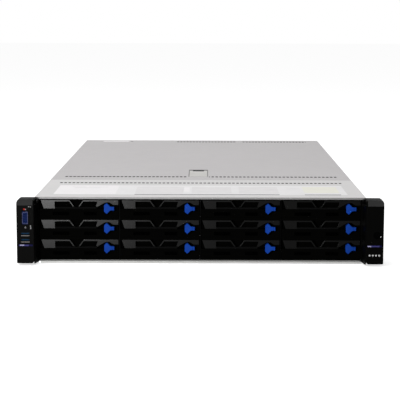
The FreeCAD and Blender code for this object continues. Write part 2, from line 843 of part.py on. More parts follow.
def drive_backplane():
    """Upright board behind the bays with air slots and one plug per drive."""
    half = backplane_width / 2
    end = backplane_at + backplane_thickness
    plate = box(-half, half, backplane_at, end, steel, steel + backplane_height)
    plugs = []
    windows = []
    for column in range(columns):
        for row in range(rows):
            x = bay_x(column) + drive_side
            z = bay_z(row) + (row_pitch - drive_height) / 2
            plugs.append(box(x + 14.0, x + 58.0, bezel_depth + drive_length + rail_thickness + drive_plug_gap,
                             backplane_at, z + 11.0, z + 16.0))
            windows.append(box(x + 66.0, x + 96.0, backplane_at - 1.0, end + 1.0, z + 6.0, z + 19.0))
    return [plate.cut(Part.makeCompound(windows))] + plugs


def fan_x(index):
    return (index - (fan_count - 1) / 2.0) * fan_pitch


def fan_z():
    return steel + fan_size / 2


def fan_housing(index):
    """Square fan frame with round bore, motor mount on four struts and the rotor's shaft."""
    x = fan_x(index)
    z = fan_z()
    half = fan_size / 2
    end = fan_at + fan_depth
    frame = box(x - half, x + half, fan_at, end, z - half, z + half)
    frame = frame.cut(rod_y(x, z, fan_bore, fan_at - 1.0, end + 1.0, fan_sides))
    motor = rod_y(x, z, fan_hub_radius, end - fan_motor_depth, end, fan_sides)
    shaft_start = end - fan_motor_depth - fan_rotor_depth + 4.0
    shaft = rod_y(x, z, fan_shaft_radius, shaft_start, end - 1.0, shaft_sides)
    struts = [box(x - half + 0.5, x + half - 0.5, end - fan_strut, end, z - fan_strut / 2, z + fan_strut / 2),
              box(x - fan_strut / 2, x + fan_strut / 2, end - fan_strut, end, z - half + 0.5, z + half - 0.5)]
    return fuse([frame, motor, shaft] + struts)


def fan_rotor(index):
    """Hub with seven pitched blades, bored for the shaft."""
    x = fan_x(index)
    z = fan_z()
    y1 = fan_at + fan_depth - fan_motor_depth - 1.0
    y0 = y1 - fan_rotor_depth
    hub = rod_y(x, z, fan_hub_radius, y0, y1, fan_sides)
    middle = (y0 + y1) / 2
    lean = math.radians(fan_blade_angle)
    half_chord = (fan_rotor_depth / 2 - 1.5)
    shift = half_chord * math.tan(lean)
    thick = fan_blade_thickness
    blades = []
    for blade in range(fan_blades):
        points = [(middle - half_chord, x - shift), (middle - half_chord, x - shift + thick),
                  (middle + half_chord, x + shift + thick), (middle + half_chord, x + shift)]
        corners = [V(px, y_front + y, z + fan_hub_radius * 0.7) for y, px in points]
        solid = Part.Face(Part.makePolygon(corners + corners[:1])).extrude(V(0, 0, 1) * blade_reach())
        solid.rotate(V(x, y_front + middle, z), V(0, 1, 0), 360.0 * blade / fan_blades)
        blades.append(solid)
    rotor = fuse([hub] + blades)
    bore = rod_y(x, z, bore_radius(fan_shaft_radius, shaft_sides), y0 + 3.0, y1 + 1.0, shaft_sides)
    return rotor.cut(bore)


def blade_reach():
    """Radial length that keeps a blade's outer corners within the tip radius."""
    half_chord = fan_rotor_depth / 2 - 1.5
    corner = half_chord * math.tan(math.radians(fan_blade_angle)) + fan_blade_thickness
    return math.sqrt(fan_tip_radius ** 2 - corner ** 2) - fan_hub_radius * 0.7


def motherboard():
    """L-shaped board on standoffs with a chipset block."""
    z = steel + standoff
    outline = [(-board_half_width, board_front), (board_half_width, board_front),
               (board_half_width, board_step), (board_right_edge, board_step),
               (board_right_edge, board_end), (-board_half_width, board_end)]
    board = prism_z(outline, z, board_top)
    posts = []
    half = post_size / 2
    for x in post_xs:
        for y in post_ys:
            posts.append(box(x - half, x + half, y - half, y + half, steel, z))
    half = chipset_size / 2
    chipset = box(-half, half, chipset_at, chipset_at + chipset_size, board_top, board_top + chipset_height)
    return [board, chipset] + posts


def heatsinks():
    """Finned blocks on the two processor sockets."""
    pieces = []
    for x in (-processor_x, processor_x):
        socket = box(x - 28.0, x + 28.0, processor_at + 18.0, processor_at + heatsink_length - 18.0,
                     board_top, board_top + socket_height)
        z0 = board_top + socket_height
        half = heatsink_width / 2
        sink = [box(x - half, x + half, processor_at, processor_at + heatsink_length, z0, z0 + heatsink_base)]
        step = (heatsink_width - fin_thickness) / (heatsink_fins - 1)
        for fin in range(heatsink_fins):
            fx = x - half + fin * step
            sink.append(box(fx, fx + fin_thickness, processor_at, processor_at + heatsink_length,
                            z0 + heatsink_base, z0 + heatsink_height))
        pieces += [socket, fuse(sink)]
    return pieces


def memory_modules():
    """Upright memory modules in their sockets, a bank on each side of each processor."""
    pieces = []
    for centre in (-processor_x, processor_x):
        for side in (-1, 1):
            for index in range(modules_per_bank):
                x = centre + side * (heatsink_width / 2 + 6.0 + index * module_pitch)
                half = module_socket_width / 2
                pieces.append(box(x - half, x + half, module_at - 4.0, module_at + module_length + 4.0,
                                  board_top, board_top + module_socket_height))
                half = module_thickness / 2
                pieces.append(box(x - half, x + half, module_at, module_at + module_length,
                                  board_top + module_socket_height,
                                  board_top + module_socket_height + module_height - 5.0))
    return pieces


def air_duct():
    """Plastic hood over the processors and memory, open to the front and rear, with a middle rib."""
    z0 = board_top
    z1 = z0 + duct_height
    half = board_half_width - 3.0
    end = duct_start + duct_length
    outline = [(-half, z0), (-half, z1 - 10.0), (-half + 10.0, z1), (half - 10.0, z1), (half, z1 - 10.0),
               (half, z0), (half - duct_sheet, z0), (half - duct_sheet, z1 - 10.5),
               (half - 10.5, z1 - duct_sheet), (-half + 10.5, z1 - duct_sheet),
               (-half + duct_sheet, z1 - 10.5), (-half + duct_sheet, z0)]
    hood = prism_y(outline, duct_start, end)
    rib = box(-duct_sheet / 2, duct_sheet / 2, duct_start, end, z0, z1 - duct_sheet)
    return fuse([hood, rib])


def riser_cages():
    """Two card cages on the board, each with a riser board and blank slot covers at the rear."""
    pieces = []
    y1 = body_depth - steel
    z0 = board_top
    top = riser_floor + riser_slots * slot_cover_pitch
    for x in riser_left_edges:
        for slot in range(riser_slots):
            z = riser_floor + slot * slot_cover_pitch
            pieces.append(box(x, x + slot_cover_width, y1 - slot_cover_steel, y1, z, z + slot_cover_height))
        y0 = y1 - slot_cover_steel - riser_length
        back = y1 - slot_cover_steel
        right = x + slot_cover_width
        web = box(right - steel, right, y0, back, riser_floor, top)
        roof = box(x, right, y0, back, top, top + steel)
        foot = box(right - steel, right, y0, y0 + 20.0, z0, riser_floor)
        pieces.append(fuse([web, roof, foot]))
        pieces.append(box(right - steel - 8.0, right - steel - 8.0 + board_thickness, y0 + 20.0, back - 60.0,
                          z0, top - 6.0))
    return pieces


def power_supply(z0):
    """Plug-in supply: case with inlet, fan slots, edge connector, handle loop and release tab."""
    x0 = psu_x0
    x1 = psu_x0 + psu_width
    y1 = body_depth + psu_proud
    y0 = y1 - psu_length
    z1 = z0 + psu_height
    case = box(x0, x1, y0, y1, z0, z1)
    inlet_x0 = x1 - inlet_width - 6.0
    inlet_z0 = z0 + (psu_height - inlet_height) / 2
    cuts = [box(inlet_x0, inlet_x0 + inlet_width, y1 - inlet_depth, y1 + 1.0,
                inlet_z0, inlet_z0 + inlet_height)]
    for slot in range(psu_slots):
        z = z0 + 5.0 + slot * 6.2
        cuts.append(box(x0 + 3.0, x0 + 28.0, y1 - 3.0, y1 + 1.0, z, z + 3.6))
    handle = psu_handle(inlet_x0 - 4.0 - handle_bar, z0 + (psu_height - handle_height) / 2, y1)
    tab = box(inlet_x0 + inlet_width + 1.2, inlet_x0 + inlet_width + 4.2, y1, y1 + 8.0, z0 + 14.0, z0 + 26.0)
    edge = box(x0 + 12.0, x1 - 12.0, y0 - 5.0, y0, z0 + 16.0, z0 + 17.6)
    return fuse([case.cut(Part.makeCompound(cuts)), handle, tab, edge])


def psu_handle(x0, z0, y0):
    """Upright loop that stands out of the supply's rear face."""
    y1 = body_depth + handle_reach
    z1 = z0 + handle_height
    corner = 5.0
    outer = [(y0, z0), (y1 - corner, z0), (y1, z0 + corner), (y1, z1 - corner), (y1 - corner, z1), (y0, z1)]
    bar = handle_bar
    inner = [(y0 - 1.0, z0 + bar), (y1 - bar - 2.0, z0 + bar), (y1 - bar, z0 + bar + 2.0),
             (y1 - bar, z1 - bar - 2.0), (y1 - bar - 2.0, z1 - bar), (y0 - 1.0, z1 - bar)]
    loop = prism_x(outer, x0, x0 + handle_bar)
    return loop.cut(prism_x(inner, x0 - 1.0, x0 + handle_bar + 1.0))


save("chassis_base", chassis_base())
save("rear_panel", rear_panel())
save("supply_bay", supply_bay())
save("drive_cage", drive_cage())
save("front_top_cover", front_top_cover())
save("rear_top_cover", rear_top_cover())
save("cover_latch", cover_latch())
save("left_ear", left_ear())
save("right_ear", right_ear())
save("power_button", power_button())
save("ear_fittings", front_ports() + light_pipes())
save("rear_ports", rear_ports())
save("circuit_boards", drive_backplane() + motherboard())
save("heatsinks", heatsinks())
save("memory_modules", memory_modules())
save("air_duct", air_duct())
save("riser_cages", riser_cages())
save("fan_housings", [fan_housing(index) for index in range(fan_count)])
for fan_index in range(fan_count):
    save("fan_rotor_%d" % (fan_index + 1), fan_rotor(fan_index))
save("power_supply_lower", power_supply(psu_lower_z))
save("power_supply_upper", power_supply(psu_upper_z))
for bay_column in range(columns):
    for bay_row in range(rows):
        bay = "%d%s" % (bay_column + 1, "abc"[bay_row])
        save("carrier_tray_" + bay, carrier_tray(bay_column, bay_row))
        save("carrier_lever_" + bay, carrier_lever(bay_column, bay_row))
        save("carrier_latch_" + bay, carrier_latch(bay_column, bay_row))
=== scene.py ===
"""Look of the two-unit rack server: materials, small fittings, studio and camera."""
import math
import random

import bmesh
import bpy
from mathutils import Matrix, Vector


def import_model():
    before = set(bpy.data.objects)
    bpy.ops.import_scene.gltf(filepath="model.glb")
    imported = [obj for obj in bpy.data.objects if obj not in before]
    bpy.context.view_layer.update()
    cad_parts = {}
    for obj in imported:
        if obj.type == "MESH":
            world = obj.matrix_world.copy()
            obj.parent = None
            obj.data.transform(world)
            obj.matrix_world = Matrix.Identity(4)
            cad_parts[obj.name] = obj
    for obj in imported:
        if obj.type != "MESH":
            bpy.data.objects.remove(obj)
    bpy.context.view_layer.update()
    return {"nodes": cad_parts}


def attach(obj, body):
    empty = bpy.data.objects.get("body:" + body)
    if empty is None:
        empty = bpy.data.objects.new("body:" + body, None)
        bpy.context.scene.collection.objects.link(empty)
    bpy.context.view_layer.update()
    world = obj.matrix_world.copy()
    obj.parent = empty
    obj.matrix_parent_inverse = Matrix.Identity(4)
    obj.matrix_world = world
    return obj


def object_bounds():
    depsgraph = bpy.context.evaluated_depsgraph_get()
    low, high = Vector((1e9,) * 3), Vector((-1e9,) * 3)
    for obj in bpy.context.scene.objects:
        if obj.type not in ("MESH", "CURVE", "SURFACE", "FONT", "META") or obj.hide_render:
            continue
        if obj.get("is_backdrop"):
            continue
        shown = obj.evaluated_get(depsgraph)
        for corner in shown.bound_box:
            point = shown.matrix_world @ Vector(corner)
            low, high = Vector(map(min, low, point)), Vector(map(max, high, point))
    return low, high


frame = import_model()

random.seed(7)
nodes = frame["nodes"]

# Sizes of the frame, in millimetres, with depth counted from the body's front plane
MM = 1000.0
FRONT = -392.25
COLUMNS, ROWS = 4, 3
BAY_PITCH, ROW_PITCH = 107.55, 26.7
CAGE_HALF, CAGE_WALL, WALL_OUT, BODY_HALF = 215.6, 1.0, 219.3, 220.5
BAY_FLOOR, BEZEL_GAP, BEZEL_HEIGHT = 2.9, 0.25, 26.2
TOP, DEPTH = 87.0, 785.0
EAR_CENTRE, EAR_FRONT = 229.95, -27.5
VGA_Z, USB_Z, TRIM_Z, DOT_Z, RED_Z = 62.9, (41.0, 32.6), 26.5, 14.2, 74.5
BUTTON_X, BUTTON_Z = 232.6, 40.7
BEZEL_DEPTH, DRIVE_END = 18.0, 165.0
DRIVE_SIDE, DRIVE_WIDTH, DRIVE_HEIGHT = 2.475, 101.6, 25.6
PSU_X0, PSU_FLOORS, PSU_HEIGHT = 136.75, (1.6, 43.4), 40.0
PSU_BACK, PSU_LENGTH = 786.0, 185.0
INLET_X, INLET_WIDTH, INLET_HEIGHT = 177.25, 27.0, 20.0
BOARD_TOP = 8.8
SOCKET_BACK = 785.5
RJ45_XS, USB_REAR_X, VGA_REAR_X = (-110.0, -90.0, -60.0), -30.0, 10.0
SLOT_LEFTS, SLOT_FLOOR, SLOT_PITCH = (-206.0, -78.0), 27.0, 18.6
VENTS = ((18.0, 39.8), (59.6, 76.4))
SIDES = (-1, 1)
BAYS = [(column, row, "%d%s" % (column + 1, "abc"[row]))
        for column in range(COLUMNS) for row in range(ROWS)]


def bay_x(column):
    return -CAGE_HALF + CAGE_WALL + column * BAY_PITCH


def place(x, y, z):
    """Point of the row frame in metres, from millimetres and depth behind the front plane."""
    return Vector((x / MM, (FRONT + y) / MM, z / MM))


# Materials

# Sockets of the mix node, for a blend of colours and for a blend of numbers
MIX_COLORS, MIXED_COLOR = (6, 7), 2
MIX_NUMBERS, MIXED_NUMBER = (2, 3), 0


class Shader:
    """Small helper that wires nodes of one material."""

    def __init__(self, name, color, roughness, metallic=0.0, specular=0.5):
        self.material = bpy.data.materials.new(name)
        self.material.use_nodes = True
        self.tree = self.material.node_tree
        self.base = self.tree.nodes["Principled BSDF"]
        self.base.inputs["Base Color"].default_value = (*color, 1.0)
        self.base.inputs["Roughness"].default_value = roughness
        self.base.inputs["Metallic"].default_value = metallic
        self.base.inputs["Specular IOR Level"].default_value = specular
        self.coords = self.tree.nodes.new("ShaderNodeTexCoord")

    def node(self, kind, **values):
        made = self.tree.nodes.new(kind)
        for key, value in values.items():
            if key in made.inputs:
                made.inputs[key].default_value = value
            else:
                setattr(made, key, value)
        return made

    def link(self, source, target):
        self.tree.links.new(source, target)

    def stretched(self, scale):
        mapping = self.node("ShaderNodeMapping")
        mapping.inputs["Scale"].default_value = scale
        self.link(self.coords.outputs["Object"], mapping.inputs["Vector"])
        return mapping.outputs["Vector"]

    def noise(self, scale, detail=4.0, stretch=(1, 1, 1), roughness=0.6):
        made = self.node("ShaderNodeTexNoise", Scale=scale, Detail=detail, Roughness=roughness)
        self.link(self.stretched(stretch), made.inputs["Vector"])
        return made.outputs["Fac"]

    def spread(self, factor, low, high, first=0.3, last=0.7):
        made = self.node("ShaderNodeMapRange")
        made.inputs["From Min"].default_value = first
        made.inputs["From Max"].default_value = last
        made.inputs["To Min"].default_value = low
        made.inputs["To Max"].default_value = high
        self.link(factor, made.inputs["Value"])
        return made.outputs["Result"]

    def mixed(self, factor, first, second):
        """Blend of two colours, each a colour or a socket, by a factor socket."""
        made = self.node("ShaderNodeMix", data_type="RGBA")
        self.link(factor, made.inputs[0])
        for slot, value in zip(MIX_COLORS, (first, second)):
            if isinstance(value, tuple):
                made.inputs[slot].default_value = (*value, 1.0)
            else:
                self.link(value, made.inputs[slot])
        return made.outputs[MIXED_COLOR]

    def blended(self, factor, first, second):
        """Blend of two numbers, each a number or a socket, by a factor socket."""
        made = self.node("ShaderNodeMix", data_type="FLOAT")
        self.link(factor, made.inputs[0])
        for slot, value in zip(MIX_NUMBERS, (first, second)):
            if isinstance(value, float):
                made.inputs[slot].default_value = value
            else:
                self.link(value, made.inputs[slot])
        return made.outputs[MIXED_NUMBER]

    def computed(self, operation, first, *others):
        """Result of a maths node on a socket and further sockets or numbers."""
        made = self.node("ShaderNodeMath", operation=operation)
        self.link(first, made.inputs[0])
        for slot, value in enumerate(others, 1):
            if isinstance(value, float):
                made.inputs[slot].default_value = value
            else:
                self.link(value, made.inputs[slot])
        return made.outputs[0]

    def separated(self):
        """Place on the node, separated into its three axes."""
        made = self.node("ShaderNodeSeparateXYZ")
        self.link(self.coords.outputs["Object"], made.inputs["Vector"])
        return made

    def tint(self, factor, dark, light, first=0.3, last=0.7):
        """Blend of two colours by a factor, into the base colour."""
        self.link(self.mixed(self.spread(factor, 0.0, 1.0, first, last), dark, light),
                  self.base.inputs["Base Color"])

    def rough(self, factor, low, high):
        self.link(self.spread(factor, low, high), self.base.inputs["Roughness"])

    def bump(self, factor, depth):
        made = self.node("ShaderNodeBump", Strength=1.0, Distance=depth)
        self.link(factor, made.inputs["Height"])
        self.link(made.outputs["Normal"], self.base.inputs["Normal"])

    def dashed(self, split, limits, first):
        """1 on and close round the slots of a row, its first slot centred at the given x."""
        along = self.computed("SUBTRACT", split.outputs["X"], first / MM)
        along = self.computed("ADD", self.computed("DIVIDE", along, SLOT_STEP / MM), 0.5)
        close = self.computed("COMPARE", self.computed("FRACT", along), 0.5, SLOT_DARK / SLOT_STEP / 2)
        return self.computed("MULTIPLY", self.inside(split, limits), close)

    def inside(self, split, limits):
        """1 within a box of x, y and z limits in millimetres, 0 outside."""
        masks = []
        for axis, (low, high) in zip("XYZ", limits):
            shift = FRONT if axis == "Y" else 0.0
            middle, half = (shift + (low + high) / 2) / MM, (high - low) / 2 / MM
            masks.append(self.computed("COMPARE", split.outputs[axis], middle, half))
        return self.computed("MULTIPLY", self.computed("MULTIPLY", masks[0], masks[1]), masks[2])


def shade(color, amount):
    return tuple(min(1.0, channel * amount) for channel in color)


# Scales of the fine noise on the finishes, and depths of their bumps in metres
PLASTIC_GRAIN, PLASTIC_DEPTH, LABEL_DEPTH = 2600.0, 0.00004, 0.00001
SHEET_GRAIN, SHEET_DEPTH, BOARD_DEPTH = 700.0, 0.000006, 0.00003
ZONED_GRAIN, ZONED_DEPTH, COVER_GRAIN, COVER_DEPTH = 1500.0, 0.00001, 500.0, 0.000003
ROLLING = (1, 0.05, 1)


def plastic(name, color, roughness, specular, depth=PLASTIC_DEPTH, vary=0.12):
    """Moulded plastic: fine spark-eroded grain, faint cloudiness and handling marks."""
    made = Shader(name, color, roughness, 0.0, specular)
    made.tint(made.noise(34.0, 3.0), shade(color, 1.0 - vary), shade(color, 1.0 + vary))
    made.rough(made.noise(120.0, 5.0), roughness * 0.86, min(1.0, roughness * 1.14))
    made.bump(made.noise(PLASTIC_GRAIN, 2.0), depth)
    return made.material


def sheet_metal(name, color, roughness, metallic=0.85):
    """Zinc-plated sheet: cool cloudy blooms, fine rolling lines and soft scuffs."""
    made = Shader(name, color, roughness, metallic, 0.4)
    made.tint(made.noise(7.0, 6.0, roughness=0.55), shade(color, 0.95), shade(color, 1.05), 0.35, 0.65)
    made.rough(made.noise(90.0, 3.0, ROLLING), roughness * 0.9, min(1.0, roughness * 1.1))
    made.bump(made.noise(SHEET_GRAIN, 2.0), SHEET_DEPTH)
    return made.material


def board(name, color):
    """Circuit board: solder mask with faint tracks."""
    made = Shader(name, color, 0.38, 0.0, 0.5)
    tracks = made.node("ShaderNodeTexBrick", Scale=55.0)
    tracks.inputs["Mortar Size"].default_value = 0.035
    made.link(made.stretched((1, 1, 1)), tracks.inputs["Vector"])
    made.link(made.mixed(tracks.outputs["Fac"], color, shade(color, 1.7)), made.base.inputs["Base Color"])
    made.bump(made.noise(SHEET_GRAIN, 2.0), BOARD_DEPTH)
    return made.material


def zoned(name, color, roughness, metallic, zones, specular=0.5, vary=0.07):
    """Finish that changes with the place on a node: a base, and boxes with finishes of their own or painted
    light and shade.
    """
    made = Shader(name, color, roughness, metallic, specular)
    split = made.separated()
    cloud = made.spread(made.noise(30.0, 4.0), 0.0, 1.0)
    tone = made.mixed(cloud, shade(color, 1.0 - vary), shade(color, 1.0 + vary))
    rough, metal = roughness, metallic
    for limits, zone_color, zone_metal, zone_rough in zones:
        mask = made.inside(split, limits)
        zone_tone = made.mixed(cloud, shade(zone_color, 1.0 - vary), shade(zone_color, 1.0 + vary))
        tone = made.mixed(mask, tone, zone_tone)
        rough = made.blended(mask, rough, zone_rough)
        metal = made.blended(mask, metal, zone_metal)
    made.link(tone, made.base.inputs["Base Color"])
    made.link(rough, made.base.inputs["Roughness"])
    if any(zone[2] != metallic for zone in zones):
        made.link(metal, made.base.inputs["Metallic"])
    made.bump(made.noise(ZONED_GRAIN, 2.0), ZONED_DEPTH)
    return made.material


BLACK = (0.0010, 0.0010, 0.0009)
BLUE = (0.0050, 0.031, 0.20)
ZINC = (0.52, 0.53, 0.53)
# Coloured bars: their own violet, painted shade for their ends and a painted highlight on part of each
VIOLET, VIOLET_SHADED, VIOLET_HIGHLIGHT = (0.030, 0.028, 0.10), (0.003, 0.003, 0.022), (0.21, 0.20, 0.29)
SOCKET_SHADE, TONGUE_BLUE = (0.003, 0.003, 0.003), (0.0016, 0.016, 0.040)
LIGHT_WHITE, LIGHT_RED = (0.32, 0.32, 0.32), (0.22, 0.008, 0.004)
HANDLE_BLACK, PLUG_BLACK, CONTACT_GOLD = (0.012, 0.012, 0.012), (0.010, 0.010, 0.010), (0.55, 0.40, 0.13)
# Limits of zones in millimetres: at any place, from front to rear, over the whole height, at either ear
ANY, WIDE, FULL_HEIGHT = (-500.0, 500.0), (-60.0, 900.0), (0.0, 90.0)
LEFT_X, RIGHT_X = (-245.0, -215.0), (215.0, 245.0)


def around(middle, below, above):
    """Limits that reach below and above a middle."""
    return (middle - below, middle + above)


def ear_fitting_zones():
    """Left-ear sockets in painted shade; in both ears coloured bars with painted shade and highlights, and
    light guides.
    """
    depth = (-30.0, -10.0)
    bar, lit = around(TRIM_Z, 1.4, 1.4), around(TRIM_Z, 1.0, 0.8)
    left_glint, right_glint = around(TRIM_Z, 0.6, 0.9), around(TRIM_Z, 0.9, 0.6)
    # Painted shade: the shells of the serial sockets are near black
    finishes = [(LEFT_X, (USB_Z[1] - 4.0, USB_Z[0] + 4.0), SOCKET_SHADE, 0.35)]
    finishes += [((-235.3, -224.6), (z + 0.3, z + 1.9), TONGUE_BLUE, 0.35) for z in USB_Z]
    finishes += [
        # Painted shade on each whole bar, its own violet nearer the middle, and painted highlights on part
        # of it
        (LEFT_X, bar, VIOLET_SHADED, 0.25),
        (RIGHT_X, bar, VIOLET_SHADED, 0.25),
        ((-238.0, -225.5), lit, VIOLET, 0.25),
        ((219.5, 236.0), lit, VIOLET, 0.25),
        ((-237.0, -231.5), left_glint, VIOLET_HIGHLIGHT, 0.2),
        ((220.2, 225.0), right_glint, VIOLET_HIGHLIGHT, 0.2),
        (RIGHT_X, around(DOT_Z, 2.0, 2.0), LIGHT_WHITE, 0.3),
        (LEFT_X, around(RED_Z, 1.6, 1.6), LIGHT_RED, 0.2),
    ]
    return [((wide, depth, high), color, 0.0, rough) for wide, high, color, rough in finishes]


def supply_zones():
    """Black handles and edge connectors, dark inlets and a blue release tab on both supplies."""
    behind = (PSU_BACK + 0.05, WIDE[1])
    inlet_end = INLET_X + INLET_WIDTH
    zones = [((ANY, behind, FULL_HEIGHT), HANDLE_BLACK, 0.0, 0.4),
             (((inlet_end + 0.5, inlet_end + 5.0), behind, FULL_HEIGHT), BLUE, 0.0, 0.35)]
    half = INLET_HEIGHT / 2 + 0.1
    for bottom in PSU_FLOORS:
        zones.append((((INLET_X - 0.1, inlet_end + 0.1), (PSU_BACK - 17.0, PSU_BACK - 0.3),
                       around(bottom + PSU_HEIGHT / 2, half, half)), PLUG_BLACK, 0.0, 0.5))
    zones.append(((ANY, (0.0, PSU_BACK - PSU_LENGTH - 0.05), FULL_HEIGHT), CONTACT_GOLD, 0.9, 0.3))
    return zones


def rear_port_zones():
    """Blue video socket and blue tongue of the serial sockets."""
    video = (around(VGA_REAR_X, 9.5, 9.5), WIDE, (BOARD_TOP, BOARD_TOP + 9.0))
    tongue = (around(USB_REAR_X, 5.3, 5.3), (700.0, SOCKET_BACK - 0.6), (BOARD_TOP + 2.9, BOARD_TOP + 4.9))
    return [(video, (0.010, 0.030, 0.22), 0.0, 0.4), (tongue, (0.008, 0.07, 0.20), 0.0, 0.4)]


def circuit_zones():
    """Black plugs on the upright board and a bare metal block on the chip."""
    plugs = (ANY, (100.0, 169.9), FULL_HEIGHT)
    block = ((-30.0, 30.0), (500.0, 600.0), (BOARD_TOP + 0.1, BOARD_TOP + 12.0))
    return [(plugs, PLUG_BLACK, 0.0, 0.45), (block, (0.55, 0.55, 0.56), 0.95, 0.35)]


# Covers: colours of the painted shade round the slots and on the bent-down nose, pitch and width of the dark
# dashes, rows of slots
SLOT_SHADE, NOSE_SHADE = (0.050, 0.049, 0.049), (0.15, 0.148, 0.148)
SLOT_STEP, SLOT_DARK = 5.9, 3.9
FIRST_SLOT, FIRST_REAR_SLOT = -200.6, -45.0
SHEET = (85.5, 87.2)
COVER_ROUGHNESS = 0.5
FRONT_SLOTS = [(((-203.5, 203.5), (143.8, 153.2), SHEET), FIRST_SLOT)]
REAR_SLOTS = [(((-203.5, -20.0), (215.0, 226.0), SHEET), FIRST_SLOT),
              (((12.0, 203.5), (215.0, 226.0), SHEET), FIRST_SLOT),
              (((-48.0, 64.5), (750.0, 764.0), SHEET), FIRST_REAR_SLOT),
              (((75.5, 196.5), (750.0, 764.0), SHEET), FIRST_REAR_SLOT)]
COVER_NOSE = (ANY, (-3.0, 0.4), (60.0, 90.0))


def slotted(name, color, rows, nose=None):
    """Cover sheet with painted shade: dark dashes on and round the slots, and a darker bent-down nose."""
    made = Shader(name, color, COVER_ROUGHNESS, 0.1, 0.4)
    split = made.separated()
    tone = made.mixed(made.spread(made.noise(7.0, 6.0, roughness=0.55), 0.0, 1.0, 0.35, 0.65),
                      shade(color, 0.985), shade(color, 1.015))
    for limits, first in rows:
        # Painted shade: a dark dash on and round each slot
        tone = made.mixed(made.dashed(split, limits, first), tone, SLOT_SHADE)
    if nose:
        # Painted shade: the bent-down nose, facing forward, is darker
        tone = made.mixed(made.inside(split, nose), tone, NOSE_SHADE)
    made.link(tone, made.base.inputs["Base Color"])
    made.rough(made.noise(60.0, 3.0), COVER_ROUGHNESS * 0.95, COVER_ROUGHNESS * 1.05)
    made.bump(made.noise(COVER_GRAIN, 2.0), COVER_DEPTH)
    return made.material


# Boxes on the chassis, cage, ears, carriers, levers and cover latch: painted shade on the front edges, cage
# top, latch gap and lower lever bars, painted light on the floor lip and ear slopes, and the black bezels
# Painted shade: the front edges of the chassis walls, recessed between ears and bezels, are near black
FRONT_EDGE_SHADE = (ANY, (-1.0, 15.0), (2.5, 90.0))
# Painted sheen: the floor lip is a pale matt grey in place of zinc, for its bright look
LIP_SHEEN = ((-213.0, 213.0), (-11.0, -0.1), (-1.0, 3.0))
# Painted shade: the front edges of the cage and its dividers are near black
CAGE_FRONT_SHADE = (ANY, (0.0, 16.0), FULL_HEIGHT)
# Painted shade: the cage's top plate, seen through the cover slots, is near black
CAGE_TOP_SHADE = (ANY, (0.0, 200.0), (83.2, 90.0))
# Painted light: the ears' top slopes, facing up to the light, are lighter
LIT_EAR_SLOPES = [((low, low + 21.5), (-27.7, -24.8), (79.5, 86.9)) for low in (-241.5, 220.0)]
# Painted shade: the gap at the rear end of the cover latch is dark
LATCH_GAP_SHADE = ((-20.0, 12.0), (299.0, 310.0), (84.0, 87.2))
BEZEL_FACES = (ANY, (-10.0, BEZEL_DEPTH - 0.1), FULL_HEIGHT)
# Painted shade: the lower bar of each lever, facing down, is darker and fully rough
LEVER_SHADE_X, LEVER_SHADE_DROP, LEVER_SHADE_HEIGHT = (20.9, 76.8), 12.5, 4.2
LEVER_SHADE = []
for column, row, _ in BAYS:
    left = bay_x(column)
    low = BAY_FLOOR + row * ROW_PITCH + BEZEL_GAP + BEZEL_HEIGHT - LEVER_SHADE_DROP
    under = ((left + LEVER_SHADE_X[0], left + LEVER_SHADE_X[1]), (-10.0, 20.0), (low, low + LEVER_SHADE_HEIGHT))
    LEVER_SHADE.append((under, (0.0006, 0.0006, 0.0006), 0.0, 1.0))
